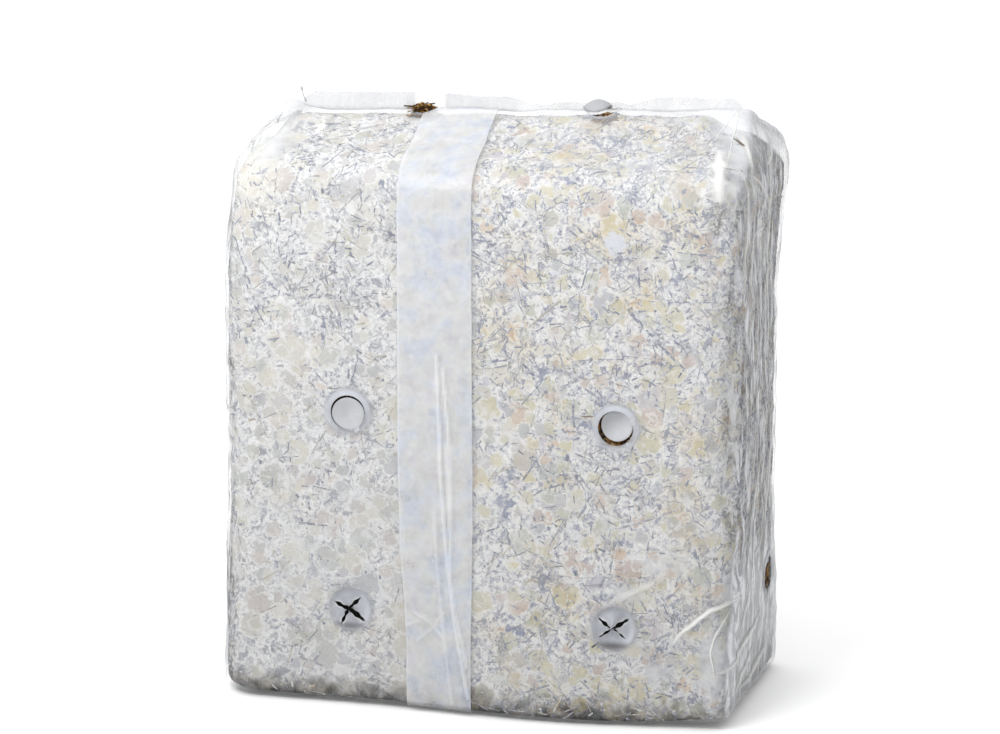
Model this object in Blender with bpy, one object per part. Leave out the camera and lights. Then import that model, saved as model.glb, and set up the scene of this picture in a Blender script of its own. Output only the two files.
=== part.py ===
"""Oyster mushroom grow bag: a block of straw bound by white mycelium, wrapped in clear film.

Metres, +Z up. The bag stands on its flat bottom, its broad front faces -Y, and the origin
is in the middle of the bottom. The film is drawn 0.5 mm thick so that it holds as a solid.
"""

import math

import bmesh
import bpy
from mathutils import Matrix, Vector, noise

# The whole bag
HALF_LEFT = 0.2060        # middle to the left end, at mid height
HALF_LEFT_TOP = 0.1990    # the same at the shoulders
HALF_LEFT_FOOT = 0.2090   # the same at the bottom
HALF_RIGHT = 0.2040       # middle to the right end, at mid height
HALF_RIGHT_FOOT = 0.1980  # the same at the bottom, where the corners are sharp
HALF_DEPTH = 0.0925       # middle to the front or the back, above the belly
FOOT_HEIGHT = 0.200       # below this height the left end splays
CORNER_HEIGHT = 0.150     # below this height the corners sharpen and the right end narrows
NARROW_Z = 0.330          # above this height the left end narrows
SHOULDER_Z = 0.400        # where the walls start to turn into the roof
TOP_CORNERS_Z = 0.300     # above this height the corners change to the top's radii
ROOF_RISE = 0.042         # from the shoulders to the top of the straw
ROOF_POWER = 2.6          # 2 gives an ellipse, more gives squarer shoulders

FLAT_LEFT = 0.150         # half sizes of the flat that the bag rests on
FLAT_RIGHT = 0.170
FLAT_DEPTH = 0.066

# Where the heavy block bulges
BELLY_FRONT = 0.0130      # the front's foot, right of the middle
BELLY_BACK = 0.0060
BELLY_X = 0.058
BELLY_WIDTH = 0.095
BELLY_FULL = 0.015        # the belly is full up to this height
BELLY_TOP = 0.170         # no belly above this height
SHOULDER_BULGE = 0.0055   # the right end's back shoulder
SHOULDER_BULGE_Z = 0.418
SHOULDER_BULGE_HEIGHT = 0.045
FOOT_SPLAY = 0.0050       # the right end's back foot
SPLAY_FULL = 0.030        # the splay is full up to this height
SPLAY_TOP = 0.160
END_START = 0.130         # from here to the right end, the end's own bulges grow
BEHIND = (-0.6, 0.9)      # and across this span of the depth, from the front to the back
FOOT_LIFT_LEFT = 0.0015   # how far the bottom's corners stand off the floor
FOOT_LIFT_RIGHT = 0.0065
FOOT_LIFT_BACK = 0.1      # the back corners stand off by this share
FOOT_LIFT_X = 0.070       # the bottom edge touches the floor here
FOOT_LIFT_SPAN = (0.040, 0.150)  # how far from there the lift starts and is full
FOOT_LIFT_TOP = 0.060     # no lift above this height
ROOF_FULLNESS = 0.0070    # the right end's back slope is fuller than the others
ROOF_FULLNESS_Z = 0.447
ROOF_FULLNESS_HEIGHT = 0.015

# The film
FILM = 0.0005             # wall thickness
GAP = 0.0012              # clearance between the film and the straw
TENT_HALF = 0.046         # the film leaves the straw this far from the middle of the roof
RIDGE_Z = 0.460           # where the roof's two slopes meet, at x = 0
RIDGE_SLOPE = 0.045       # the ridge climbs towards the right end
RIDGE_LEFT = 0.165        # middle to the ridge's left end
RIDGE_RIGHT = 0.193       # middle to the ridge's right end
END_FULLNESS = 0.8        # less makes the roof's ends steeper
LAP_LEFT = -0.0640        # the lap seam's two edges on the front
LAP_RIGHT = -0.0050
LAP_RISE = 0.0007         # how far the doubled film stands proud
STEP_WIDTH = 0.0008       # over which the lap's edge steps up

# The welded fin along the ridge
FIN_LEFT_HEIGHT = 0.0108
FIN_RIGHT_HEIGHT = 0.0088
FIN_SLOPE = (-0.050, 0.130)  # between these the height changes
FIN_HALF_THICKNESS = 0.0006
FIN_ROOT = 0.0016         # how far the fin reaches below the ridge
FIN_WAVES = ((0.0006, 0.0130, 0.0), (0.0004, 0.0052, 1.0))  # height, length, shift
FIN_SWAY = (0.0016, 0.021, 0.6)                               # the same, to the sides
FIN_SWAY_MIDDLE = 0.35    # share of the sway halfway up
FIN_MIDDLE = 0.45
FIN_START = (0.012, 0.35)  # over how long the left end grows, and from what share
FIN_END = (0.050, 0.50)    # the same at the right end
FIN_DIPS = ((0.034, 0.022, 0.80), (0.095, 0.026, 0.66))  # where, how wide, and what share is lost

# The bottom edge and the upright corners
EDGE_FRONT = 0.006        # rounding of the bottom edge at the front and the back
EDGE_LEFT = 0.015
EDGE_RIGHT = 0.007
CORNER_MID = 0.030        # radius of the upright corners at mid height
CORNER_FOOT_LEFT = 0.026
CORNER_FOOT_RIGHT = 0.009
CORNER_TOP_LEFT = 0.026
CORNER_TOP_RIGHT = 0.012

# The straw block's own shoulders
STRAW_TOP_LEFT = 0.140    # half widths of the block's top
STRAW_TOP_RIGHT = 0.150
STRAW_CORNER = 0.040
STRAW_TOP_SHARE = 0.30    # the flat top's share of the depth
STRAW_ROUNDING_Z = 0.280  # above this height the block's corners turn rounder

# Lumps that the packed straw pushes into the film
LUMP_SIZE = 0.048
LUMP_HEIGHT = 0.0016
SMALL_LUMP = (0.45, 0.5)  # the small lumps' size and height, as shares of the broad ones'
FLAT_FOOT = 0.010         # below this height the bottom stays flat

# Openings in the film
ROW_MIDDLE_Z = 0.2353     # punched holes
ROW_LOWER_Z = 0.0790      # X cuts
COLUMN_LEFT = -0.1010
COLUMN_RIGHT = 0.1085
PUNCH_RADIUS = 0.0140
DISC_RADIUS = 0.0124      # the disc that still hangs in a punched hole
DISC_SHIFT = 0.00165      # the disc sits this far off centre, towards its tab
CUT_REACH = 0.0150        # from an X cut's middle to its tips
CUT_WAIST = 0.0019        # from its middle to the flaps' points
CUT_TURN = 42.0           # degrees from level to an X cut's first arm
LEAN_RIGHT = 6.0          # degrees more on the right column
CUTTER_DEPTH = 0.030      # long enough to reach the belly
END_HOLE_Y = 0.0340       # the hole in each end
END_HOLE_Z = 0.0917
ROOF_HOLE_LEFT = -0.0625
ROOF_HOLE_RIGHT = 0.0790
ROOF_HOLE_Y = -0.0020     # just in front of the fin
ROOF_HOLE_RADIUS = 0.0125
ROOF_DISC_RADIUS = 0.0120
ROOF_DISC_SHIFT = 0.0030

# Mesh density
CORNER_STEPS = 3
END_STEPS = 4
WALL_ROWS = 13
SHOULDER_ROWS = 5
EDGE_ROWS = 2
FIN_COLUMNS = 30
ARC_STEPS = 12

MERGE = 0.00001           # points closer than this are one

STILL_COLUMNS = 0.100     # columns nearer the middle keep their x at every height
OUTER_COLUMN = 0.175
FRONT_COLUMNS = (
    -0.150, -0.124, -0.098, -0.081,
    LAP_LEFT - STEP_WIDTH / 2, LAP_LEFT + STEP_WIDTH / 2, -0.0345,
    LAP_RIGHT - STEP_WIDTH / 2, LAP_RIGHT + STEP_WIDTH / 2,
    0.018, 0.040, 0.062, 0.083, 0.100, 0.125, 0.150,
)


def mix(a, b, share):
    """The value a given share of the way from a to b."""
    return a + (b - a) * share


def smooth_step(low, high, value):
    """0 below low, 1 above high, and an S curve between."""
    share = min(max((value - low) / (high - low), 0.0), 1.0)
    return share * share * (3.0 - 2.0 * share)


def hump(value, centre, width):
    """A bell curve of height 1 around centre."""
    return math.exp(-((value - centre) / width) ** 2)


def column_x(x, reach_left, reach_right):
    """Where a column lies in an outline whose straight front ends at the two reaches."""
    if abs(x) <= STILL_COLUMNS:
        return x
    share = (abs(x) - STILL_COLUMNS) / (OUTER_COLUMN - STILL_COLUMNS)
    reach = reach_left if x < 0.0 else reach_right
    return math.copysign(mix(STILL_COLUMNS, reach, share), x)


def ring(left, right, depth, radius_left, radius_right):
    """One level outline, counter-clockwise from the front's left end, seen from above."""
    radius_left = min(radius_left, 0.9 * depth)
    radius_right = min(radius_right, 0.9 * depth)
    points = []

    def corner(centre_x, centre_y, radius, start):
        for step in range(CORNER_STEPS + 1):
            angle = math.radians(start + 90.0 * step / CORNER_STEPS)
            points.append((centre_x + radius * math.cos(angle), centre_y + radius * math.sin(angle)))

    def end(x, radius, direction):
        reach = depth - radius
        for step in range(1, END_STEPS):
            points.append((x, direction * mix(-reach, reach, step / END_STEPS)))

    broad = [column_x(x, left - radius_left, right - radius_right) for x in FRONT_COLUMNS]
    points.extend((x, -depth) for x in broad)
    corner(right - radius_right, -(depth - radius_right), radius_right, -90.0)
    end(right, radius_right, 1.0)
    corner(right - radius_right, depth - radius_right, radius_right, 0.0)
    points.extend((x, depth) for x in reversed(broad))
    corner(-(left - radius_left), depth - radius_left, radius_left, 90.0)
    end(-left, radius_left, -1.0)
    corner(-(left - radius_left), -(depth - radius_left), radius_left, 180.0)
    return points


def corner_radii(z):
    """Radii of the left and right upright corners at height z."""
    rise = smooth_step(0.0, CORNER_HEIGHT, z)
    fall = smooth_step(TOP_CORNERS_Z, SHOULDER_Z, z)
    left = mix(mix(CORNER_FOOT_LEFT, CORNER_MID, rise), CORNER_TOP_LEFT, fall)
    right = mix(mix(CORNER_FOOT_RIGHT, CORNER_MID, rise), CORNER_TOP_RIGHT, fall)
    return left, right


def half_widths(z):
    """From the middle to the left and the right end at height z."""
    splayed = mix(HALF_LEFT_FOOT, HALF_LEFT, smooth_step(0.0, FOOT_HEIGHT, z))
    left = mix(splayed, HALF_LEFT_TOP, smooth_step(NARROW_Z, SHOULDER_Z, z))
    right = mix(HALF_RIGHT_FOOT, HALF_RIGHT, smooth_step(0.0, CORNER_HEIGHT, z))
    return left, right


def bulge(place):
    """A point of the plain outline, moved to where the sagging block carries it."""
    x, y, z = place
    depth_share = abs(y) / HALF_DEPTH
    height_share = 1.0 - smooth_step(BELLY_FULL, BELLY_TOP, z)
    sag = hump(x, BELLY_X, BELLY_WIDTH) * height_share * depth_share ** 2
    y += sag * (BELLY_BACK if y > 0.0 else -BELLY_FRONT)
    behind = smooth_step(*BEHIND, y / HALF_DEPTH)
    at_end = smooth_step(END_START, HALF_RIGHT, x)
    splay = FOOT_SPLAY * (1.0 - smooth_step(SPLAY_FULL, SPLAY_TOP, z))
    x += behind * at_end * (splay + SHOULDER_BULGE * hump(z, SHOULDER_BULGE_Z, SHOULDER_BULGE_HEIGHT))
    foot_lift = FOOT_LIFT_LEFT if x < FOOT_LIFT_X else FOOT_LIFT_RIGHT
    foot_lift *= 1.0 - smooth_step(0.0, FOOT_LIFT_TOP, z)
    foot_lift *= mix(1.0, FOOT_LIFT_BACK, behind)
    z += foot_lift * smooth_step(*FOOT_LIFT_SPAN, abs(x - FOOT_LIFT_X))
    z += ROOF_FULLNESS * behind * at_end * hump(z, ROOF_FULLNESS_Z, ROOF_FULLNESS_HEIGHT)
    return Vector((x, y, z))


def wall_heights(start):
    """Heights of the wall's rows, from the bottom edge to the shoulders."""
    return [mix(start, SHOULDER_Z, row / WALL_ROWS) for row in range(WALL_ROWS + 1)]


def shoulder_profile(last_share, rows):
    """Pairs of (share of the depth, share of the rise) up the shoulder's curve."""
    last_angle = math.acos(last_share ** (ROOF_POWER / 2.0))
    pairs = []
    for row in range(1, rows + 1):
        angle = last_angle * row / rows
        pairs.append((math.cos(angle) ** (2.0 / ROOF_POWER), math.sin(angle) ** (2.0 / ROOF_POWER)))
    return pairs


def footprint(z):
    """The outline of the flat middle of the bottom."""
    outline = ring(FLAT_LEFT, FLAT_RIGHT, FLAT_DEPTH, CORNER_MID, CORNER_MID)
    return [Vector((x, y, z)) for x, y in outline]


def straw_radii(z):
    """Radii of the straw block's upright corners, which are rounder at the top."""
    rounding = smooth_step(STRAW_ROUNDING_Z, SHOULDER_Z, z)
    return [max(radius, mix(radius, STRAW_CORNER, rounding)) for radius in corner_radii(z)]


def body_levels(inset, radii):
    """The rings of the bottom, its edge and the walls, drawn in by an inset."""
    levels = [footprint(inset)]
    for row in range(EDGE_ROWS):
        angle = math.radians(90.0 * row / EDGE_ROWS)
        pulled = 1.0 - math.sin(angle)
        z = inset + EDGE_FRONT * (1.0 - math.cos(angle))
        left, right = half_widths(z)
        outline = ring(left - inset - EDGE_LEFT * pulled, right - inset - EDGE_RIGHT * pulled,
                       HALF_DEPTH - inset - EDGE_FRONT * pulled, *radii(z))
        levels.append([bulge((x, y, z)) for x, y in outline])
    for z in wall_heights(EDGE_FRONT + inset):
        left, right = half_widths(z)
        outline = ring(left - inset, right - inset, HALF_DEPTH - inset, *radii(z))
        levels.append([bulge((x, y, z)) for x, y in outline])
    return levels


def film_levels():
    """The film's rings from the bottom to the ridge: lists of points in space."""
    levels = body_levels(0.0, corner_radii)
    shares = shoulder_profile(TENT_HALF / HALF_DEPTH, SHOULDER_ROWS)
    heights = [(share, SHOULDER_Z + ROOF_RISE * rise) for share, rise in shares]
    tent_share, tent_z = heights[-1]
    heights.extend((tent_share * part, mix(RIDGE_Z, tent_z, part)) for part in (0.5, 0.0))
    for share, z in heights:
        left = mix(RIDGE_LEFT, HALF_LEFT_TOP, share ** END_FULLNESS)
        right = mix(RIDGE_RIGHT, HALF_RIGHT, share ** END_FULLNESS)
        outline = ring(left, right, HALF_DEPTH * share, CORNER_TOP_LEFT, CORNER_TOP_RIGHT)
        levels.append([bulge((x, y, z + lift(x, share))) for x, y in outline])
    return levels


def straw_levels():
    """The straw block's rings, inside the film by its thickness and the gap."""
    inset = FILM + GAP
    levels = body_levels(inset, straw_radii)
    for share, rise in shoulder_profile(STRAW_TOP_SHARE, SHOULDER_ROWS + 1):
        z = SHOULDER_Z + (ROOF_RISE - inset) * rise
        left = mix(STRAW_TOP_LEFT, HALF_LEFT_TOP - inset, share)
        right = mix(STRAW_TOP_RIGHT, HALF_RIGHT - inset, share)
        outline = ring(left, right, (HALF_DEPTH - inset) * share, STRAW_CORNER, STRAW_CORNER)
        levels.append([bulge((x, y, z + lift(x, share))) for x, y in outline])
    return levels


def lift(x, share):
    """How much higher the roof is at x, because the ridge climbs to the right."""
    return RIDGE_SLOPE * x * (1.0 - share)


def lump(place):
    """How far the packed straw pushes the surface out at a place."""
    still = smooth_step(FLAT_FOOT, 3.0 * FLAT_FOOT, place.z)
    broad = noise.noise(place / LUMP_SIZE)
    small_size, small_height = SMALL_LUMP
    small = noise.noise(place / (small_size * LUMP_SIZE) + Vector((7.0, 3.0, 5.0)))
    return LUMP_HEIGHT * still * (broad + small_height * small)


def in_lap(x, y):
    """True on the front's doubled strip of film."""
    return y < 0.0 and LAP_LEFT < x < LAP_RIGHT


def loft(levels, name):
    """A closed mesh object through the rings, capped below and above."""
    mesh = bmesh.new()
    rings = [[mesh.verts.new(point) for point in level] for level in levels]
    count = len(rings[0])
    for lower, upper in zip(rings, rings[1:]):
        for i in range(count):
            j = (i + 1) % count
            mesh.faces.new((lower[i], lower[j], upper[j]))
            mesh.faces.new((lower[i], upper[j], upper[i]))
    mesh.faces.new(list(reversed(rings[0])))
    if levels[-1][0].y < -MERGE:
        mesh.faces.new(rings[-1])
    bmesh.ops.remove_doubles(mesh, verts=mesh.verts, dist=MERGE)
    bmesh.ops.dissolve_degenerate(mesh, edges=mesh.edges, dist=MERGE)
    bmesh.ops.recalc_face_normals(mesh, faces=mesh.faces)
    data = bpy.data.meshes.new(name)
    mesh.to_mesh(data)
    mesh.free()
    made = bpy.data.objects.new(name, data)
    bpy.context.scene.collection.objects.link(made)
    return made


def push_out(made, amount):
    """Moves each vertex along its normal by what amount(place) says."""
    mesh = bmesh.new()
    mesh.from_mesh(made.data)
    mesh.normal_update()
    moves = [vert.normal * amount(vert.co) for vert in mesh.verts]
    for vert, move in zip(mesh.verts, moves):
        vert.co += move
    mesh.to_mesh(made.data)
    mesh.free()


def film_relief(place):
    """The film's relief: the straw's lumps, and the lap seam's extra thickness."""
    doubled = LAP_RISE if in_lap(place.x, place.y) and place.z > FLAT_FOOT else 0.0
    return lump(place) + doubled


def prism(mesh, outline, frame):
    """Adds a prism over a flat outline, pushed through along the frame's z."""
    half = CUTTER_DEPTH / 2.0
    lower = [mesh.verts.new(frame @ Vector((x, y, -half))) for x, y in outline]
    upper = [mesh.verts.new(frame @ Vector((x, y, half))) for x, y in outline]
    mesh.faces.new(list(reversed(lower)))
    mesh.faces.new(upper)
    for i in range(len(outline)):
        j = (i + 1) % len(outline)
        mesh.faces.new((lower[i], lower[j], upper[j], upper[i]))


def crescent(hole=PUNCH_RADIUS, disc=DISC_RADIUS, shift=DISC_SHIFT):
    """The gap around a punched disc: it closes at the tab, on the outline's +y side."""
    meet = (hole ** 2 - disc ** 2 + shift ** 2) / (2.0 * shift)
    tab = math.acos(meet / hole)
    inner_tab = math.acos((meet - shift) / disc)
    outer = []
    inner = []
    for step in range(ARC_STEPS + 1):
        share = step / ARC_STEPS
        angle = math.pi / 2.0 + mix(tab, 2.0 * math.pi - tab, share)
        outer.append((hole * math.cos(angle), hole * math.sin(angle)))
        angle = math.pi / 2.0 + mix(inner_tab, 2.0 * math.pi - inner_tab, share)
        inner.append((disc * math.cos(angle), shift + disc * math.sin(angle)))
    return outer + list(reversed(inner[1:-1]))


def cross_cut():
    """An X cut pulled slightly open: a star with four long, thin points."""
    points = []
    for step in range(8):
        reach = CUT_REACH if step % 2 == 0 else CUT_WAIST
        angle = math.radians(CUT_TURN + 45.0 * step)
        points.append((reach * math.cos(angle), reach * math.sin(angle)))
    return points


def wall_frame(place, facing, turn):
    """A frame whose z points out of the wall and whose outline is turned by degrees."""
    upright = Vector((0.0, 0.0, 1.0))
    out = Vector(facing).normalized()
    across = upright.cross(out).normalized()
    up = out.cross(across)
    basis = Matrix((across, up, out)).transposed().to_4x4()
    return Matrix.Translation(place) @ basis @ Matrix.Rotation(math.radians(turn), 4, "Z")


def hole_cutters():
    """One guide object that holds the shape of every opening in the film."""
    mesh = bmesh.new()
    for side in (-1.0, 1.0):
        face = side * HALF_DEPTH
        out = (0.0, side, 0.0)
        prism(mesh, crescent(), wall_frame(Vector((COLUMN_LEFT, face, ROW_MIDDLE_Z)), out, 0.0))
        prism(mesh, crescent(), wall_frame(Vector((COLUMN_RIGHT, face, ROW_MIDDLE_Z)), out, -90.0))
        prism(mesh, cross_cut(), wall_frame(Vector((COLUMN_LEFT, face, ROW_LOWER_Z)), out, 0.0))
        prism(mesh, cross_cut(), wall_frame(Vector((COLUMN_RIGHT, face, ROW_LOWER_Z)), out, LEAN_RIGHT))
    right_end = Vector((HALF_RIGHT, END_HOLE_Y, END_HOLE_Z))
    left_end = Vector((-HALF_LEFT, -END_HOLE_Y, END_HOLE_Z))
    prism(mesh, crescent(), wall_frame(right_end, (1.0, 0.0, 0.0), 0.0))
    prism(mesh, crescent(), wall_frame(left_end, (-1.0, 0.0, 0.0), 0.0))
    gap = crescent(ROOF_HOLE_RADIUS, ROOF_DISC_RADIUS, ROOF_DISC_SHIFT)
    for x in (ROOF_HOLE_LEFT, ROOF_HOLE_RIGHT):
        place = Vector((x, ROOF_HOLE_Y, RIDGE_Z + RIDGE_SLOPE * x))
        front = [point for point in gap if point[1] < -2.0 * FIN_HALF_THICKNESS]
        prism(mesh, front, Matrix.Translation(place))
    data = bpy.data.meshes.new("hole_cutters")
    mesh.to_mesh(data)
    mesh.free()
    return guide("hole_cutters", data)


def wave(x, height, length, shift):
    """A sine wave's height at x."""
    return height * math.sin(x / length + shift)


def fin_top(x):
    """Height of the fin's wavy edge above the ridge."""
    height = mix(FIN_LEFT_HEIGHT, FIN_RIGHT_HEIGHT, smooth_step(*FIN_SLOPE, x))
    for centre, width, loss in FIN_DIPS:
        height *= 1.0 - loss * hump(x, centre, width)
    height += sum(wave(x, *shape) for shape in FIN_WAVES)
    start_length, start_share = FIN_START
    end_length, end_share = FIN_END
    height *= mix(start_share, 1.0, smooth_step(-RIDGE_LEFT, start_length - RIDGE_LEFT, x))
    return height * mix(1.0, end_share, smooth_step(RIDGE_RIGHT - end_length, RIDGE_RIGHT, x))


def fin_sway(x):
    """How far the fin's edge leans to the front or the back."""
    return wave(x, *FIN_SWAY)


def weld_fin():
    """The strip of welded film that stands along the ridge."""
    mesh = bmesh.new()
    columns = []
    for step in range(FIN_COLUMNS + 1):
        x = mix(-RIDGE_LEFT, RIDGE_RIGHT, step / FIN_COLUMNS)
        ridge = RIDGE_Z + RIDGE_SLOPE * x
        heights = (-FIN_ROOT, FIN_MIDDLE * fin_top(x), fin_top(x))
        sways = (0.0, FIN_SWAY_MIDDLE * fin_sway(x), fin_sway(x))
        column = []
        for side in (-1.0, 1.0):
            for height, sway in zip(heights, sways):
                y = sway + side * FIN_HALF_THICKNESS
                column.append(mesh.verts.new((x, y, ridge + height)))
        front_low, front_mid, front_top, back_low, back_mid, back_top = column
        columns.append((front_low, front_mid, front_top, back_top, back_mid, back_low))
    for first, second in zip(columns, columns[1:]):
        for i in range(6):
            j = (i + 1) % 6
            mesh.faces.new((first[i], second[i], second[j], first[j]))
    mesh.faces.new(columns[0])
    mesh.faces.new(list(reversed(columns[-1])))
    bmesh.ops.recalc_face_normals(mesh, faces=mesh.faces)
    data = bpy.data.meshes.new("weld_fin")
    mesh.to_mesh(data)
    mesh.free()
    return guide("weld_fin", data)


def guide(name, data):
    """An object that only shapes another one."""
    made = bpy.data.objects.new(name, data)
    bpy.context.scene.collection.objects.link(made)
    made.hide_render = True
    made.display_type = "WIRE"
    return made


def boolean(made, tool, operation):
    """Joins the tool to the object, or cuts it out."""
    step = made.modifiers.new(tool.name, "BOOLEAN")
    step.solver = "EXACT"
    step.operation = operation
    step.object = tool


def finish(made, name, colour, roughness, alpha):
    """Gives an object its plain material and smooth faces."""
    surface = bpy.data.materials.new(name)
    surface.use_nodes = True
    shader = surface.node_tree.nodes["Principled BSDF"]
    shader.inputs["Base Color"].default_value = (*colour, 1.0)
    shader.inputs["Roughness"].default_value = roughness
    shader.inputs["Alpha"].default_value = alpha
    made.data.materials.append(surface)
    made.data.shade_smooth()
    made.data.set_sharp_from_angle(angle=math.radians(40.0))


def straw_block():
    """The straw and mycelium, grown into one lumpy block."""
    made = loft(straw_levels(), "straw_block")
    push_out(made, lump)
    finish(made, "mycelium", (0.80, 0.78, 0.72), 0.9, 1.0)


def bag_film():
    """The bag: a thin closed skin with its fin, its lap seam and its openings."""
    made = loft(film_levels(), "bag_film")
    push_out(made, film_relief)
    wall = made.modifiers.new("wall", "SOLIDIFY")
    wall.thickness = FILM
    wall.offset = -1.0
    wall.use_even_offset = True
    boolean(made, weld_fin(), "UNION")
    boolean(made, hole_cutters(), "DIFFERENCE")
    finish(made, "polyethylene_film", (0.86, 0.88, 0.92), 0.2, 0.35)
    return made


def centre_under(film):
    """Moves every mesh level, so that the origin is in the middle of the film's outline."""
    xs = [vert.co.x for vert in film.data.vertices]
    ys = [vert.co.y for vert in film.data.vertices]
    middle = Vector((min(xs) + max(xs), min(ys) + max(ys), 0.0)) / 2.0
    for made in bpy.data.objects:
        made.data.transform(Matrix.Translation(-middle))


for old in list(bpy.data.objects):
    bpy.data.objects.remove(old, do_unlink=True)

straw_block()
centre_under(bag_film())
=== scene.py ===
# %% [markdown]
# # Oyster mushroom grow bag
#
# A grower packs damp chopped straw into a tube of thin polyethylene film and seeds it with
# the mycelium of oyster mushrooms. In a few weeks the white threads bind the straw into one
# firm block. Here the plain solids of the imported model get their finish: the felted block, the
# chopped straw that shows through it, and the film with its seams, holes and creases.

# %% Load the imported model
import math

import bmesh
import bpy
import numpy as np
from mathutils import Matrix, Vector, noise
from mathutils.bvhtree import BVHTree


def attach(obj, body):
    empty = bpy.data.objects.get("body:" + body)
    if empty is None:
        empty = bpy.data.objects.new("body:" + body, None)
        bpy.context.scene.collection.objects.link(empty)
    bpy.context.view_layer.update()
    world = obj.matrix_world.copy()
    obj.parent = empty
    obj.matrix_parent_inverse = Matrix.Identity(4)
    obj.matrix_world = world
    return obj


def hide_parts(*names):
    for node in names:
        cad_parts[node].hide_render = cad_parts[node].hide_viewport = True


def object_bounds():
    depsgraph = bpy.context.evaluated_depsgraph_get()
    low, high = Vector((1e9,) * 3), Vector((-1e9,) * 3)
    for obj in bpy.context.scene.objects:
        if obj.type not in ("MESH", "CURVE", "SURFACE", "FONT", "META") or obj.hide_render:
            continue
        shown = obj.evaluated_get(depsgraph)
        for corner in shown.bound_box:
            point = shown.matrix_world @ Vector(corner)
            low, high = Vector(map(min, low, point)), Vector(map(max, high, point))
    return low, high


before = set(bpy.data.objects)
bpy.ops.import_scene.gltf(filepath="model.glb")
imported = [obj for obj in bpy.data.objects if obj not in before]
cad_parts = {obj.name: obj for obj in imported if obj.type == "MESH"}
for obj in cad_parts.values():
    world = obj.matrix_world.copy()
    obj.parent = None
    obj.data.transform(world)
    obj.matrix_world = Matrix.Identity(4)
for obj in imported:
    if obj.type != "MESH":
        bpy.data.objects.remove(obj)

cad_low, cad_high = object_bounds()
MM = 0.001
print("solids", sorted(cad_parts), "box in mm", [round(v / MM) for v in cad_high - cad_low])

# %% [markdown]
# ## Camera, light and floor
#
# The camera stands well back with a long lens, so the upright edges stay nearly parallel. The
# small shift keeps the bag where the picture has it. The studio is a white dome that
# darkens towards the right, so the bag's right end falls into a soft grey, and one broad lamp
# above and in front of it makes the top the brightest part.

# %% Camera
AZIMUTH, ELEVATION = math.radians(13.103), math.radians(14.543)
TARGET = Vector((0.0, 0.0, 0.235))
DISTANCE = 4.0
back_off = Vector((
    math.sin(AZIMUTH) * math.cos(ELEVATION),
    -math.cos(AZIMUTH) * math.cos(ELEVATION),
    math.sin(ELEVATION),
))
lens = bpy.data.cameras.new("long_lens")
lens.lens = 185.0
lens.sensor_width = 36.0
lens.shift_x = -0.0031
lens.shift_y = 0.0248
camera = bpy.data.objects.new("camera", lens)
bpy.context.scene.collection.objects.link(camera)
camera.location = TARGET + DISTANCE * back_off
camera.rotation_euler = (-back_off).to_track_quat("-Z", "Y").to_euler()
bpy.context.scene.camera = camera
bpy.context.scene.view_settings.view_transform = "Standard"
print("camera at", [round(v, 3) for v in camera.location])


# %% Nodes and colours
def linear(text):
    """Linear RGBA from an sRGB hex colour."""
    channels = [int(text[i:i + 2], 16) / 255.0 for i in (0, 2, 4)]
    return (*[c / 12.92 if c <= 0.04045 else ((c + 0.055) / 1.055) ** 2.4 for c in channels], 1.0)


def add_node(tree, kind, inputs=None, stops=None, **settings):
    """Adds a node with its settings, its ramp's stops, and its sockets' values or links."""
    node = tree.nodes.new("ShaderNode" + kind)
    for name, value in settings.items():
        setattr(node, name, value)
    if stops:
        elements = node.color_ramp.elements
        while len(elements) < len(stops):
            elements.new(1.0)
        for element, (position, colour) in zip(elements, stops):
            element.position = position
            element.color = linear(colour)
    for socket, value in (inputs or {}).items():
        if isinstance(value, bpy.types.NodeSocket):
            tree.links.new(value, node.inputs[socket])
        else:
            node.inputs[socket].default_value = value
    return node


def per_metre(size):
    """A texture scale at which one feature is about so many millimetres."""
    return 1000.0 / size


def noise_at(tree, place, size, detail, rough=0.5, bend=0.0):
    """Noise whose features are about so many millimetres."""
    return add_node(tree, "TexNoise", {"Vector": place, "Scale": per_metre(size), "Detail": detail,
                                       "Roughness": rough, "Distortion": bend}).outputs[0]


def span(tree, value, low, high, first=0.0, last=1.0, curve="LINEAR"):
    """Turns the range from low to high into the one from first to last."""
    return add_node(tree, "MapRange", {0: value, 1: low, 2: high, 3: first, 4: last},
                    interpolation_type=curve).outputs[0]


def reckon(tree, operation, *values, **settings):
    """A sum, product or other reckoning of numbers."""
    return add_node(tree, "Math", dict(enumerate(values)), operation=operation, **settings).outputs[0]


def mixed(tree, share, under, over, blend="MIX"):
    """A share of one colour over another."""
    return add_node(tree, "Mix", {0: share, 6: under, 7: over}, data_type="RGBA",
                    blend_type=blend).outputs[2]


def ramp(tree, share, *stops):
    """A colour from a ramp."""
    return add_node(tree, "ValToRGB", {0: share}, stops=stops).outputs[0]


def carried(tree, name):
    """A number that the piece's vertices carry."""
    return add_node(tree, "Attribute", attribute_name=name).outputs["Fac"]


def height_of(tree, place):
    """Height above the floor."""
    return add_node(tree, "SeparateXYZ", {0: place}).outputs["Z"]


def roughened(tree, shader, relief, strength, depth):
    """Lets the light see a fine relief, whose depth is in metres."""
    bump = add_node(tree, "Bump", {"Height": relief, "Strength": strength, "Distance": depth})
    tree.links.new(bump.outputs[0], shader.inputs["Normal"])


def new_surface(name, values):
    """A material, its node tree and its shader, with constants on the shader's sockets."""
    surface = bpy.data.materials.new(name)
    surface.use_nodes = True
    shader = surface.node_tree.nodes["Principled BSDF"]
    for socket, value in values.items():
        shader.inputs[socket].default_value = value
    return surface, surface.node_tree, shader


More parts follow.
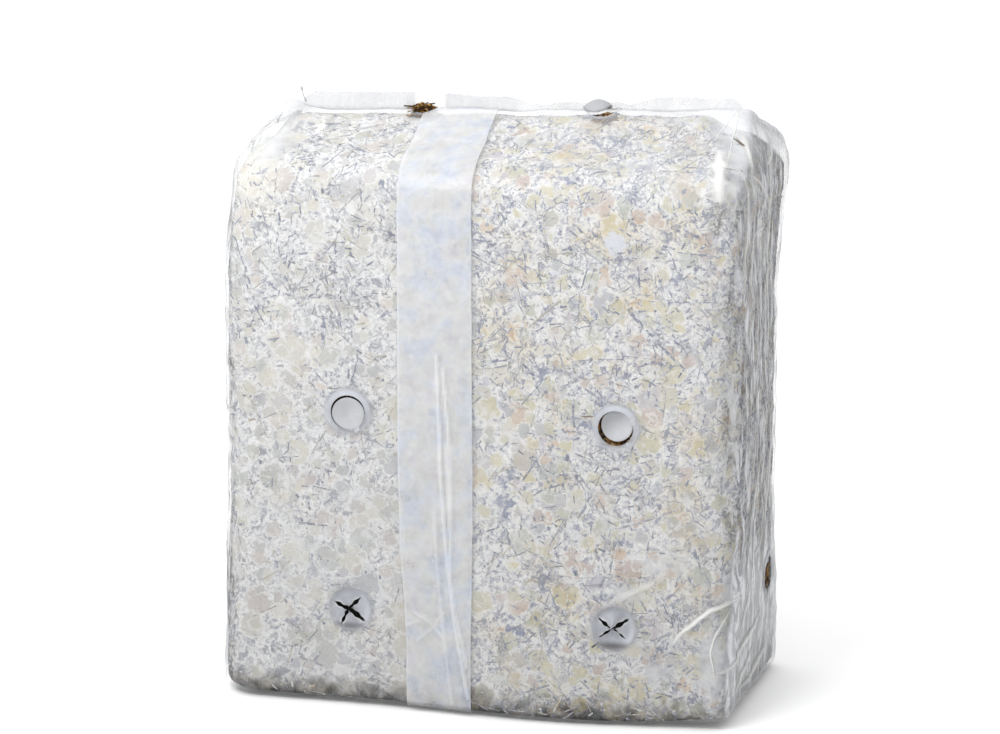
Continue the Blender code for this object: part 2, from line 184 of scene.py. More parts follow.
# %% Light
SMOOTH = "SMOOTHSTEP"
world = bpy.data.worlds.new("studio")
bpy.context.scene.world = world
world.use_nodes = True
dome = world.node_tree
direction = add_node(dome, "TexCoord").outputs["Generated"]
sides = add_node(dome, "SeparateXYZ", {0: direction}).outputs
shade = span(dome, sides["X"], 0.25, 0.90, 1.0, 0.27, SMOOTH)      # darker to the right
overhead = span(dome, sides["Z"], 0.0, 1.0, 0.45, 1.55)            # brighter above
backdrop = dome.nodes["Background"]
backdrop.inputs["Color"].default_value = linear("ffffff")
dome.links.new(reckon(dome, "MULTIPLY", shade, overhead), backdrop.inputs["Strength"])

KEY_AT = Vector((-0.35, -0.90, 1.30))
key = bpy.data.lights.new("softbox", "AREA")
key.shape = "RECTANGLE"
key.size, key.size_y = 0.7, 0.5
key.energy = 10.0
softbox = bpy.data.objects.new("softbox", key)
bpy.context.scene.collection.objects.link(softbox)
softbox.location = KEY_AT
softbox.rotation_euler = (KEY_AT - TARGET).to_track_quat("Z", "Y").to_euler()


# %% Floor
def deselect_all():
    """Leaves object mode with nothing selected."""
    if bpy.context.object and bpy.context.object.mode != "OBJECT":
        bpy.ops.object.mode_set(mode="OBJECT")
    bpy.ops.object.select_all(action="DESELECT")


# Matt white paint, rolled on a board, scatters light evenly. A little light comes up through
# the board, as in a light table, and thins the bag's shadow out.
floor_paint, _, _ = new_surface("matt_white_paint", {
    "Base Color": linear("f9f9f9"), "Roughness": 0.9,
    "Emission Color": linear("ffffff"), "Emission Strength": 0.10,
})
FLOOR_SIZE, UNDER_FOOT = 7.0, 0.0004       # the floor lies a hair under the film
deselect_all()
bpy.ops.mesh.primitive_plane_add(size=FLOOR_SIZE, location=(0.0, 0.0, -UNDER_FOOT))
floor = bpy.context.object
floor.name = "floor"
floor.data.materials.append(floor_paint)
print("floor", FLOOR_SIZE, "m wide")

# %% [markdown]
# ## Places on the bag
#
# The holes are punched in two columns, and the seam runs between them. These places are those
# of the solids, in metres, so that the film's openings meet the solids' own.

# %% Places
LEFT, RIGHT, HOLE_UP, CUT_UP = -0.1012, 0.1083, 0.2353, 0.0790
FRONT, BACK = -1.0, 1.0                    # the way a wall faces along y
HOLES = {                                  # middle of each opening on its wall, and the wall
    "punched_left": ((LEFT, HOLE_UP), FRONT),
    "punched_right": ((RIGHT, HOLE_UP), FRONT),
    "back_punched_left": ((LEFT, HOLE_UP), BACK),
    "back_punched_right": ((RIGHT, HOLE_UP), BACK),
}
CUTS = {
    "cut_left": ((LEFT, CUT_UP), FRONT),
    "cut_right": ((RIGHT, CUT_UP), FRONT),
    "back_cut_left": ((LEFT, CUT_UP), BACK),
    "back_cut_right": ((RIGHT, CUT_UP), BACK),
}
HOLE_RADIUS = 0.0140
ROOF_HOLES = ((-0.0627, 0.0015, 0.4570), (0.0788, 0.0015, 0.4635))
END_HOLES = ((0.2040, 0.0375, 0.0917), (-0.2070, -0.0305, 0.0917))
RIDGE_Y, RIDGE_Z, RIDGE_SLOPE = 0.0035, 0.4600, 0.045    # the roof's ridge, which rises to the right
ON_WALL = 0.05                             # front and back lie further out than this


def smooth_step(low, high, value):
    """0 below low, 1 above high, and an S curve between, for a number or an array."""
    share = np.clip((value - low) / (high - low), 0.0, 1.0)
    return share * share * (3.0 - 2.0 * share)


def hump(value, centre, width):
    """A bell curve of height 1 around centre."""
    return np.exp(-((value - centre) / width) ** 2)


def spot_on(places, x, z, wide, high):
    """A soft spot on the front or back, 1 in its middle. Middle and reach are in mm."""
    return hump(places[:, 0] / MM, x, wide) * hump(places[:, 2] / MM, z, high)


def from_opening(places, opening):
    """Distance along the wall from an opening's middle, endless on the other walls."""
    (x, z), side = opening
    away = np.hypot(places[:, 0] - x, places[:, 2] - z)
    return np.where(places[:, 1] * side > ON_WALL, away, np.inf)


def ridge_height(x):
    """Height of the roof's ridge above the floor."""
    return RIDGE_Z + RIDGE_SLOPE * x


# %% Mesh tools
def activate(piece):
    """Selects one object alone and makes it the active one."""
    deselect_all()
    piece.select_set(True)
    bpy.context.view_layer.objects.active = piece


def edit_all(piece, *steps):
    """Selects all of a piece in edit mode and uses tools on it, each with its settings."""
    activate(piece)
    bpy.ops.object.mode_set(mode="EDIT")
    bpy.ops.mesh.select_all(action="SELECT")
    for tool, settings in steps:
        tool(**settings)
    bpy.ops.object.mode_set(mode="OBJECT")


FACE_OUTWARD = (bpy.ops.mesh.normals_make_consistent, {"inside": False})
TOUCHING = 0.00001                         # vertices this close together are one


def apply_modifier(piece, kind, **settings):
    """Adds a modifier to a piece and applies it."""
    activate(piece)
    step = piece.modifiers.new(kind.lower(), kind)
    for name, value in settings.items():
        setattr(step, name, value)
    bpy.ops.object.modifier_apply(modifier=step.name)


def places_of(piece):
    """The piece's vertices as an array of points."""
    flat = np.empty(3 * len(piece.data.vertices), np.float32)
    piece.data.vertices.foreach_get("co", flat)
    return flat.reshape(-1, 3).astype(float)


def move_to(piece, places):
    """Gives the piece's vertices new places."""
    piece.data.vertices.foreach_set("co", places.astype(np.float32).ravel())
    piece.data.update()


def normals_of(piece):
    """The piece's vertex normals as an array."""
    flat = np.empty(3 * len(piece.data.vertices), np.float32)
    piece.data.vertex_normals.foreach_get("vector", flat)
    return flat.reshape(-1, 3).astype(float)


def lumps(places, size, shift=0.0):
    """Soft noise between about -1 and 1, with lumps of about a size in metres."""
    offset = Vector((shift, 0.5 * shift, -shift))
    return np.array([noise.noise(Vector(place) / size + offset) for place in places])


def store(piece, name, values):
    """Keeps one number for each vertex, which a material can read."""
    layer = piece.data.attributes.new(name, "FLOAT", "POINT")
    layer.data.foreach_set("value", np.asarray(values, np.float32))


def tree_of(piece):
    """A search tree over the piece's faces."""
    mesh = bmesh.new()
    mesh.from_mesh(piece.data)
    tree = BVHTree.FromBMesh(mesh)
    mesh.free()
    return tree


def finish_piece(piece, surface, body="root"):
    """Gives a piece its material, smooth faces and the body it rides on."""
    piece.data.materials.clear()
    piece.data.materials.append(surface)
    piece.data.shade_smooth()
    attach(piece, body)
    print(piece.name, "triangles", sum(len(p.vertices) - 2 for p in piece.data.polygons))


# %% [markdown]
# ## The block of straw and mycelium
#
# The block is one lumpy felted body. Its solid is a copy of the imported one, turned into an even
# skin of small faces by a voxel remesh, so that it can carry lumps of any place and size. The
# remesh leaves steps at the solid's flat facets, and smoothing takes them away. Then each
# vertex moves along its normal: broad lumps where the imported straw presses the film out, and
# small ones for the clumps of felt.

# %% Copy and remesh the block
deselect_all()
block = bpy.data.objects.new("mycelium_block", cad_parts["straw_block"].data.copy())
bpy.context.scene.collection.objects.link(block)
edit_all(block, (bpy.ops.mesh.remove_doubles, {"threshold": TOUCHING}))
apply_modifier(block, "REMESH", mode="VOXEL", voxel_size=0.00275)
apply_modifier(block, "SMOOTH", factor=0.5, iterations=8)
print("block vertices", len(block.data.vertices))

# %% Lumps and the way to the film
BROAD, CLUMP, FIBRE = 0.030, 0.012, 0.0055     # sizes of the lumps in metres
FIN_BESIDE, FIN_BELOW = 0.004, 0.0022      # the solid's fin lies this near to the ridge's line


def packing(places):
    """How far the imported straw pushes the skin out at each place, in metres."""
    still = smooth_step(0.006, 0.020, places[:, 2])
    return still * (0.0011 * lumps(places, BROAD, 3.0) + 0.0007 * lumps(places, CLUMP, 11.0))


def film_over(piece):
    """Search tree of the solid film without its fin."""
    solid = bmesh.new()
    solid.from_mesh(piece.data)
    bmesh.ops.remove_doubles(solid, verts=solid.verts, dist=TOUCHING)
    fin_faces = [f for f in solid.faces if all(
        abs(v.co.y - RIDGE_Y) < FIN_BESIDE and v.co.z > ridge_height(v.co.x) - FIN_BELOW
        for v in f.verts)]
    bmesh.ops.delete(solid, geom=fin_faces, context="FACES")
    tree = BVHTree.FromBMesh(solid)
    solid.free()
    return tree


film_tree = film_over(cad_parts["bag_film"])

# %% Draw the block out to the film and add the lumps
BEHIND_FILM = 0.0022                       # the block ends this far behind the film
places = places_of(block)
x, z = places[:, 0], places[:, 2]
into_right = (x - 0.140) / 0.045 + (z - 0.425) / 0.038      # above 1 in the empty top corners
into_left = (-x - 0.155) / 0.035 + (z - 0.410) / 0.045
reach = 1.0 - smooth_step(0.85, 1.5, np.maximum(into_right, into_left))
reach *= smooth_step(0.020, 0.050, z)
for i in np.flatnonzero(reach > 0.0):
    spot, _, _, gap = film_tree.find_nearest(Vector(places[i]))
    places[i] += (np.array(spot) - places[i]) / gap * reach[i] * max(gap - BEHIND_FILM, 0.0)
move_to(block, places)
apply_modifier(block, "SMOOTH", factor=0.5, iterations=12)
places = places_of(block)
felt = 0.0005 * lumps(places, FIBRE, 5.0) * smooth_step(0.003, 0.012, places[:, 2])
move_to(block, places + normals_of(block) * (packing(places) + felt - 0.0002)[:, None])
places = places_of(block)
DENT = 0.0035                              # the block gives way behind each opening
for opening in {**HOLES, **CUTS}.values():
    places[:, 1] -= DENT * opening[1] * (1.0 - smooth_step(0.010, 0.0145, from_opening(places, opening)))
move_to(block, places)
block_tree = tree_of(block)
print("block stands", round(places[:, 2].max() / MM, 1), "mm tall")

# %% Where the block is bare, slick or gloomy, and where a painted shadow blackens it under the cuts
BARE_SPOTS = (                             # round holes that look into straw: middle and radius
    ((-0.0615, 0.0085, 0.4575), 0.0105),
    ((0.0800, -0.0045, 0.4600), 0.0085),
    (END_HOLES[0], 0.0125),
    (END_HOLES[1], 0.0125),
)
UNDER_CUT = 0.0175                         # radius of the painted shadow under an X cut


def bareness(places):
    """1 where an opening in the film lays the straw bare, and it is brown and dark."""
    bare = np.zeros(len(places))
    for opening in {**HOLES, **CUTS}.values():
        bare = np.maximum(bare, 1.0 - smooth_step(0.014, 0.018, from_opening(places, opening)))
    for place, radius in BARE_SPOTS:
        away = np.linalg.norm(places - np.array(place), axis=1)
        bare = np.maximum(bare, 1.0 - smooth_step(radius, radius + 0.0025, away))
    return bare


def under_cut(places):
    """True under an X cut, where a painted shadow makes the block all but black."""
    return np.any([from_opening(places, cut) < UNDER_CUT for cut in CUTS.values()], axis=0)


SLICKS = (                                 # middle and reach in mm, and the wall
    (107, 379, 10.5, 12.0, FRONT), (60, 352, 5.0, 4.0, FRONT), (-60, 370, 12.0, 9.0, BACK),
)
places = places_of(block)
ends = np.maximum(smooth_step(0.183, 0.196, places[:, 0]), smooth_step(0.191, 0.200, -places[:, 0]))
edge = smooth_step(0.172, 0.186, places[:, 0]) * smooth_step(0.33, 0.38, places[:, 2])
drawn_tall = places * np.array([1.0, 1.0, 0.40])
blotch = lumps(drawn_tall, 0.014, 31.0) + 0.6 * lumps(drawn_tall, 0.006, 37.0)
far_edge = hump(places[:, 1], 0.062, 0.022) * smooth_step(0.30, 0.36, places[:, 2])
gloom = np.maximum(ends, edge) * np.clip(smooth_step(0.02, 0.30, blotch) + 0.85 * far_edge, 0.0, 1.0)
slick = np.zeros(len(places))
for x, z, wide, high, side in SLICKS:
    slick = np.maximum(slick, spot_on(places, x, z, wide, high) * (places[:, 1] * side > ON_WALL))
store(block, "bare", bareness(places))
# painted shadow under the X cuts
store(block, "cut_shadow", under_cut(places).astype(float))
store(block, "gloom", gloom)
store(block, "slick", slick)
store(block, "cream", spot_on(places, -180, 418, 24, 26))
print("bare share", round(float(bareness(places).mean()), 4), "slick share", round(float(slick.mean()), 4))

# %% Painted shade towards the foot
def painted_foot_shade(tree, place, colour, foot=0.74):
    """A colour that darkens towards the bag's foot: painted shade, as the light falls from above."""
    share = span(tree, height_of(tree, place), 0.02, 0.40, foot, 0.955)
    grey = add_node(tree, "CombineColor", {0: share, 1: share, 2: share}).outputs[0]
    return mixed(tree, 1.0, colour, grey, "MULTIPLY")


# %% [markdown]
# ## Mycelium felt
#
# Mycelium is a felt of white threads. Where it is thin, the straw under it shows through as
# cream, peach, lilac and green-grey patches with light rims, because the threads grow densest
# along the edges of the straws. So the colour is made in layers: a fine net of threads over
# grey straw, two sizes of rounded patches from a Voronoi pattern, each with a tint of its own
# and a light rim, and thick white felt over a part of it all. A noise bends the patches out of
# their even shape.

# %% The felt's material
PATCH_TINTS = (
    (0.00, "d3cdb9"), (0.14, "ddd3ab"), (0.28, "bfc2b4"), (0.40, "d9cfa6"), (0.50, "c3c0cd"),
    (0.60, "ddc4a6"), (0.70, "c7b3a8"), (0.80, "c5c9bd"), (0.90, "b4b6bf"), (1.00, "e6e0cd"),
)
PATCH_SIZES = (21.0, 13.0)                 # in mm
PATCH_REACH, PATCHES_OFF = 0.38, 0.34      # the smallest patch, and the share of cells without one


def straw_patches(tree, bent, colour, size):
    """Smooth patches of straw under thin felt, each with a light rim and a tint of its own."""
    cells = add_node(tree, "TexVoronoi", {"Vector": bent, "Scale": per_metre(size), "Randomness": 0.9})
    picks = add_node(tree, "SeparateColor", {0: cells.outputs["Color"]}).outputs
    reach = span(tree, picks[1], 0.0, 1.0, PATCH_REACH, PATCH_REACH + 0.22)
    away = reckon(tree, "DIVIDE", cells.outputs["Distance"], reach)
    chosen = reckon(tree, "GREATER_THAN", picks[2], PATCHES_OFF)
    rimmed = span(tree, away, 0.84, 0.96, curve=SMOOTH)
    tint = mixed(tree, rimmed, ramp(tree, picks[0], *PATCH_TINTS), linear("f1efe9"))
    inside = reckon(tree, "MULTIPLY", span(tree, away, 0.98, 1.10, 0.88, 0.0), chosen)
    return mixed(tree, inside, colour, tint)


def felt_surface():
    """White mycelium over tinted straw. The threads grew into a matt felt that scatters light."""
    surface, tree, shader = new_surface("mycelium_felt", {"Roughness": 0.85, "Specular IOR Level": 0.2})
    place = add_node(tree, "TexCoord").outputs["Object"]
    axes = add_node(tree, "SeparateXYZ", {0: place}).outputs
    bend = add_node(tree, "TexNoise", {"Vector": place, "Scale": per_metre(6.0), "Detail": 4.0,
                                       "Roughness": 0.6}).outputs
    bent = add_node(tree, "VectorMath", {0: bend["Color"], 1: (0.5,) * 3}, operation="SUBTRACT").outputs[0]
    bent = add_node(tree, "VectorMath", {0: bent, 1: (0.013,) * 3, 2: place},
                    operation="MULTIPLY_ADD").outputs[0]

    # the net between the patches: threads over lilac-grey straw, with ragged slate bits
    fine = noise_at(tree, bent, 3.4, 4.0, 0.65)
    colour = ramp(tree, fine, (0.36, "9496a6"), (0.44, "bfbfc7"), (0.50, "dddcda"), (0.56, "f6f5f2"))
    slate = span(tree, noise_at(tree, place, 15.0, 8.0, 0.74), 0.565, 0.580, 0.0, 0.90)
    colour = mixed(tree, slate, colour, linear("7f86a0"))
    for size in PATCH_SIZES:
        colour = straw_patches(tree, bent, colour, size)

    # warmer towards the right, in clouds
    right = span(tree, axes["X"], -0.06, 0.06, 0.25, 0.62, SMOOTH)
    warm = span(tree, noise_at(tree, place, 45.0, 3.0, 0.6), 0.48, 0.66, curve=SMOOTH)
    colour = mixed(tree, reckon(tree, "MULTIPLY", warm, right), colour, linear("efe0be"), "MULTIPLY")

    # thick white felt over a part of it all, paler on the left
    thick = noise_at(tree, place, 12.0, 7.0, 0.72)
    colour = mixed(tree, span(tree, thick, 0.53, 0.60, 0.0, 0.60, SMOOTH), colour, linear("efefee"))
    tinted = span(tree, axes["X"], -0.07, 0.04, 0.45, 1.0, SMOOTH)
    colour = add_node(tree, "HueSaturation", {"Saturation": tinted, "Value": 0.85,
                                              "Color": colour}).outputs[0]
    # painted shade, darker towards the foot
    colour = painted_foot_shade(tree, place, colour)
    cream = reckon(tree, "MULTIPLY", carried(tree, "cream"), 0.42)
    colour = mixed(tree, cream, colour, linear("f3edd8"))

    # a few places without threads, smooth and pale grey, with ragged edges
    slick = reckon(tree, "MULTIPLY_ADD", carried(tree, "slick"), 0.7, bend[0])
    colour = mixed(tree, span(tree, slick, 0.90, 0.96, 0.0, 0.85), colour, linear("c6cad4"))

    # gloomy straw at the ends, which the net of threads breaks up
    gloom = reckon(tree, "MULTIPLY", carried(tree, "gloom"), span(tree, fine, 0.44, 0.58, 1.0, 0.25))
    colour = mixed(tree, gloom, colour, linear("5f5e58"), "MULTIPLY")

    # painted contact shadow at the foot, partly damp, whose dark line rises and falls
    painted_shade = span(tree, noise_at(tree, place, 10.0, 3.0), 0.32, 0.68, 0.007, -0.005)
    painted_shade = span(tree, reckon(tree, "ADD", axes["Z"], painted_shade), 0.0, 0.026)
    foot = ramp(tree, painted_shade, (0.0, "0e0c0b"), (0.22, "3a3733"), (0.50, "a3a09c"), (1.0, "ffffff"))
    colour = mixed(tree, 1.0, colour, foot, "MULTIPLY")

    # brown straw in the openings, dark in places as painted shade in the gaps, and a painted shadow all
    # but black under the cuts
    brown = ramp(tree, thick, (0.42, "0a0805"), (0.54, "2c1d0c"), (0.62, "6e4c20"), (0.74, "a88244"))
    brown = mixed(tree, carried(tree, "cut_shadow"), brown, linear("060505"))
    colour = mixed(tree, carried(tree, "bare"), colour, brown)
    tree.links.new(colour, shader.inputs["Base Color"])
    roughened(tree, shader, noise_at(tree, place, 2.0, 3.0, 0.7), 0.35, 0.0008)
    return surface


mycelium_felt = felt_surface()
finish_piece(block, mycelium_felt)
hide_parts("straw_block")

# %% [markdown]
# ## Chopped straw
#
# The straw was chopped to a few centimetres and lies every way. Most of it is grown over, and
# what shows are slivers: long split stems, short bits and chips. One sliver is modelled from a
# four-sided cylinder and then copied many times. Each copy gets its own length, width and turn,
# and is bent so that it follows the block's surface, half sunk in the felt.

# %% One sliver as a pattern
def sliver_pattern(stations):
    """The vertices and faces of one straight sliver, 1 long, 1 wide and 1 high."""
    deselect_all()
    bpy.ops.mesh.primitive_cylinder_add(vertices=4, radius=math.sqrt(0.5), depth=1.0)
    pattern = bpy.context.object
    bpy.ops.object.mode_set(mode="EDIT")
    bpy.ops.mesh.select_all(action="SELECT")
    bpy.ops.transform.rotate(value=math.radians(45.0), orient_axis="Z", center_override=(0, 0, 0))
    bpy.ops.transform.rotate(value=math.radians(90.0), orient_axis="Y", center_override=(0, 0, 0))
    mesh = bmesh.from_edit_mesh(pattern.data)
    for edge in mesh.edges:
        along = edge.verts[0].co - edge.verts[1].co
        edge.select_set(abs(along.x) > 0.5)
    if stations > 2:
        bpy.ops.mesh.subdivide(number_cuts=stations - 2)
    bpy.ops.object.mode_set(mode="OBJECT")
    points = places_of(pattern)
    faces = [tuple(face.vertices) for face in pattern.data.polygons]
    bpy.data.objects.remove(pattern)
    return points, faces


for count in (4, 3, 2):
    points, faces = sliver_pattern(count)
    print("pattern with", count, "stations:", len(points), "vertices", len(faces), "faces")

# %% Scatter points on the block
block.data.calc_loop_triangles()
corners = np.empty(3 * len(block.data.loop_triangles), np.int32)
block.data.loop_triangles.foreach_get("vertices", corners)
corner_places = places_of(block)[corners.reshape(-1, 3)]
sides_a = corner_places[:, 1] - corner_places[:, 0]
sides_b = corner_places[:, 2] - corner_places[:, 0]
face_normals = np.cross(sides_a, sides_b)
face_areas = np.linalg.norm(face_normals, axis=1)
face_normals /= face_areas[:, None]


def straw_shows(places):
    """The chance that a straw at a place is not grown over, higher on the right and at the ends."""
    right = smooth_step(-0.02, 0.05, places[:, 0])
    shoulder = hump(places[:, 2], 0.350, 0.075)
    foot = 1.0 - smooth_step(0.12, 0.26, places[:, 2])
    patchy = 0.7 * lumps(places, 0.045, 17.0) + 1.1 * lumps(places, 0.013, 23.0)
    ends = smooth_step(0.185, 0.198, np.abs(places[:, 0]))
    corner = spot_on(places, 185, 60, 40, 100)
    grown = spot_on(places, -180, 415, 30, 30)
    low_left = (1.0 - right) * (1.0 - smooth_step(0.20, 0.33, places[:, 2]))
    more = 0.26 * ends + 0.26 * right + 0.38 * shoulder + 0.40 * corner
    less = 0.30 * grown + 0.10 * low_left + 0.12 * foot * (1.0 - right)
    return np.clip(0.26 + more - less + patchy, 0.03, 1.0)


def scatter(count, dice):
    """Random places on the block with their normals, thinned where felt covers the straw."""
    tries = 3 * count
    chosen = dice.choice(len(face_areas), size=tries, p=face_areas / face_areas.sum())
    shares = dice.random((2, tries))
    first, second = np.where(shares.sum(axis=0) > 1.0, 1.0 - shares, shares)
    spots = corner_places[chosen, 0] + first[:, None] * sides_a[chosen] + second[:, None] * sides_b[chosen]
    kept = np.flatnonzero(dice.random(tries) < straw_shows(spots))[:count]
    return spots[kept], face_normals[chosen[kept]]


# %% Lay slivers on the surface
def unit(vectors):
    """Vectors of length 1."""
    return vectors / np.maximum(np.linalg.norm(vectors, axis=-1, keepdims=True), 1e-9)


def lay(name, spots, normals, lengths, widths, heights, tones, sunk, stations, dice, rise=0.0):
    """One mesh of many slivers, each bent along the block's surface."""
    points, faces = sliver_pattern(stations)
    count = len(spots)
    up = np.where(np.abs(normals[:, 2:3]) > 0.8, [[0.0, 1.0, 0.0]], [[0.0, 0.0, 1.0]])
    across = unit(np.cross(up, normals))
    steep = np.cross(normals, across)
    turn = dice.random(count) * math.pi
    heading = np.cos(turn)[:, None] * across + np.sin(turn)[:, None] * steep
    lateral = np.cross(normals, heading)
    curve = dice.normal(0.0, 0.02, count) * lengths
    shares = np.linspace(-0.5, 0.5, stations)
    line = spots[:, None] + heading[:, None] * (lengths[:, None] * shares)[..., None]
    line += lateral[:, None] * (curve[:, None] * (4.0 * shares ** 2))[..., None]
    laid, out = np.empty_like(line), np.empty_like(line)
    for i in range(count):
        for j in range(stations):
            spot, normal, _, _ = block_tree.find_nearest(line[i, j])
            laid[i, j], out[i, j] = spot, normal
    out = unit(out + normals[:, None])
    forward = unit(np.gradient(laid, axis=1))
    beside = unit(np.cross(out, forward))
    taper = dice.uniform(0.45, 1.0, (count, stations)) * (1.0 - 0.35 * (2.0 * np.abs(shares)) ** 2)
    station = np.rint((points[:, 0] + 0.5) * (stations - 1)).astype(int)
    roof = 0.5 + 0.5 * (points[:, 2] < 0.0)          # the top is narrower than the sunk base
    sideways = points[:, 1] * roof * widths[:, None] * taper[:, station]
    upward = (points[:, 2] + 0.5 - sunk[:, None]) * heights[:, None] + np.reshape(rise, (-1, 1))
    moved = laid[:, station] + beside[:, station] * sideways[..., None]
    moved += out[:, station] * upward[..., None]
    all_faces = [tuple(i * len(points) + v for v in face) for i in range(count) for face in faces]
    mesh = bpy.data.meshes.new(name)
    mesh.from_pydata(moved.reshape(-1, 3).tolist(), [], all_faces)
    mesh.validate()
    piece = bpy.data.objects.new(name, mesh)
    bpy.context.scene.collection.objects.link(piece)
    edit_all(piece, FACE_OUTWARD)
    store(piece, "tone", np.repeat(tones, len(points)))
    return piece


# %% [markdown]
# ## Straw's colours
#
# Dry straw is pale gold, but under the film and the felt it reads as slate, lilac grey and
# greenish grey, with a few tan ones, and only where the film is open is it wet and brown. Each
# sliver carries its own tone from 0 to 1, and the material turns that into a colour. Threads of
# felt cross the slivers and break their outlines.

# %% The straw's material
STRAW_TONES = (
    (0.00, "6f768c"), (0.14, "858a9e"), (0.28, "9698a6"), (0.40, "9c9b9a"), (0.52, "b0aea8"),
    (0.64, "b5a88f"), (0.76, "c9bea4"), (0.88, "dcd7ca"), (0.895, "080706"), (0.91, "2c1d0b"),
    (0.94, "6b4a1e"), (0.97, "a47a3c"), (1.00, "d0a765"),
)
DRY_TO, WET_FROM = 0.88, 0.90              # tones of straw under film, and of wet brown straw
CUT_SHADOW_TONE = 0.895                           # all but black: painted shadow under the X cuts


def straw_surface():
    """Straw, cut and split along its fibres, so it has a faint waxy gloss."""
    surface, tree, shader = new_surface("chopped_straw", {"Roughness": 0.6, "Specular IOR Level": 0.3})
    place = add_node(tree, "TexCoord").outputs["Object"]
    tone = carried(tree, "tone")
    grain = noise_at(tree, place, 1.6, 2.0)
    streaks = ramp(tree, grain, (0.30, "b8b8b8"), (0.65, "ffffff"))
    colour = mixed(tree, 0.6, ramp(tree, tone, *STRAW_TONES), streaks, "MULTIPLY")
    cover = span(tree, noise_at(tree, place, 4.5, 5.0, 0.7), 0.47, 0.58, 0.0, 0.85, SMOOTH)
    cover = reckon(tree, "MULTIPLY", cover, span(tree, tone, 0.885, 0.895, 1.0, 0.0))
    colour = mixed(tree, cover, colour, linear("dcdcdb"))
    # painted shade, darker towards the foot
    tree.links.new(painted_foot_shade(tree, place, colour), shader.inputs["Base Color"])
    roughened(tree, shader, grain, 0.3, 0.0004)
    return surface


chopped_straw = straw_surface()


# %% Long stems, short bits and chips
def tones_for(spots, dice, dark):
    """A tone for each sliver: darker near the shoulder and on the right."""
    pull = 0.25 * hump(spots[:, 2], 0.36, 0.07) + 0.16 * smooth_step(0.0, 0.05, spots[:, 0])
    pull = pull + 0.28 * smooth_step(0.183, 0.196, np.abs(spots[:, 0]))
    tones = dice.beta(1.1, 1.5, len(spots)) * DRY_TO - dark - pull * dice.random(len(spots))
    return np.clip(tones, 0.0, DRY_TO)


KINDS = (  # name, count, stations, length in metres, its spread, width, how much darker
    ("straw_stems", 1900, 4, 0.0200, 0.45, 0.0016, 0.02),
    ("straw_bits", 5200, 3, 0.0066, 0.50, 0.0027, 0.12),
    ("straw_chips", 8500, 2, 0.0034, 0.40, 0.0028, 0.06),
)
for seed, (name, count, stations, length, spread, width, dark) in enumerate(KINDS):
    dice = np.random.default_rng(40 + seed)
    spots, normals = scatter(count, dice)
    count = len(spots)
    lengths = length * np.exp(dice.normal(0.0, spread, count))
    widths = width * np.exp(dice.normal(0.0, 0.35, count))
    heights = dice.uniform(0.0005, 0.0010, count)
    sunk = dice.uniform(0.35, 0.85, count)
    tones = tones_for(spots, dice, dark)
    bare = bareness(spots) > 0.5
    tones[bare] = dice.uniform(WET_FROM, 1.0, int(bare.sum()))
    # painted shadow: slivers under the X cuts are all but black
    tones[under_cut(spots)] = CUT_SHADOW_TONE
    piece = lay(name, spots, normals, lengths, widths, heights, tones, sunk, stations, dice)
    finish_piece(piece, chopped_straw)

# %% Loose straw in the openings
dice = np.random.default_rng(77)
spots, normals, rises = [], [], []
EVENLY, ALONG_RIDGE = np.array([1.0, 1.0, 1.0]), np.array([0.85, 0.20, 0.30])
# Each mouth has a middle, a radius, a height of its heap, a number of tries and a spread.
MOUTHS = [((x, 0.09 * side, z), 0.0125, 0.0012, 90, EVENLY) for (x, z), side in HOLES.values()]
MOUTHS += [(place, 0.0115, 0.0012, 90, EVENLY) for place in END_HOLES]
MOUTHS += [((0.0810, -0.0055, 0.4610), 0.0080, 0.0040, 90, EVENLY)]
MOUTHS += [((-0.0635, 0.0012, 0.4575), 0.0125, 0.0105, 230, ALONG_RIDGE)]
for middle, radius, lift, tries, spread in MOUTHS:
    middle = np.array(block_tree.find_nearest(Vector(middle))[0])
    for _ in range(tries):
        shift = dice.normal(0.0, 0.5 * radius, 3) * spread
        if np.linalg.norm(shift) > 1.15 * radius:
            continue
        spot, normal, _, _ = block_tree.find_nearest(Vector(middle + shift))
        away = np.linalg.norm(np.array(spot) - middle)
        spots.append(spot)
        normals.append(normal)
        rises.append(lift * dice.random() * max(1.0 - (away / radius) ** 2, 0.0))
spots, normals = np.array(spots), np.array(normals)
count = len(spots)
lengths = 0.0065 * np.exp(dice.normal(0.0, 0.4, count))
widths = 0.0012 * np.exp(dice.normal(0.0, 0.3, count))
heights = dice.uniform(0.0006, 0.0011, count)
tones = dice.uniform(WET_FROM, 1.0, count)
sunk = dice.uniform(0.0, 0.4, count)
tuft = lay("loose_straw", spots, normals, lengths, widths, heights, tones, sunk, 3, dice, np.array(rises))
finish_piece(tuft, chopped_straw)

# %% [markdown]
# ## The film
#
# The bag is one skin of film, drawn tight over the block and standing off it only along the
# ridge and in the top corners. It starts as a box of even squares, and each vertex is then
# drawn in until it meets the solid film, so the skin has the solid's shape with none of its
# flat facets once it is smoothed. The same lumps as the block's push it out.

# %% A box of even squares
deselect_all()
box_size = cad_high - cad_low
centre = (cad_high + cad_low) / 2.0
MARGIN = 0.010
bpy.ops.mesh.primitive_cube_add(size=1.0, location=centre, scale=box_size + Vector((2 * MARGIN,) * 3))
skin = bpy.context.object
skin.name = "film_skin"
bpy.ops.object.transform_apply(location=True, rotation=True, scale=True)
bpy.ops.object.mode_set(mode="EDIT")
for axis, cuts in ((0, (11, 12)), (1, (7, 7)), (2, (12, 12))):
    for number in cuts:
        mesh = bmesh.from_edit_mesh(skin.data)
        bpy.ops.mesh.select_all(action="DESELECT")
        for edge in mesh.edges:
            along = edge.verts[0].co - edge.verts[1].co
            edge.select_set(abs(along[axis]) > 0.9 * along.length)
        bpy.ops.mesh.subdivide(number_cuts=number)
bpy.ops.object.mode_set(mode="OBJECT")
print("skin squares", len(skin.data.polygons))

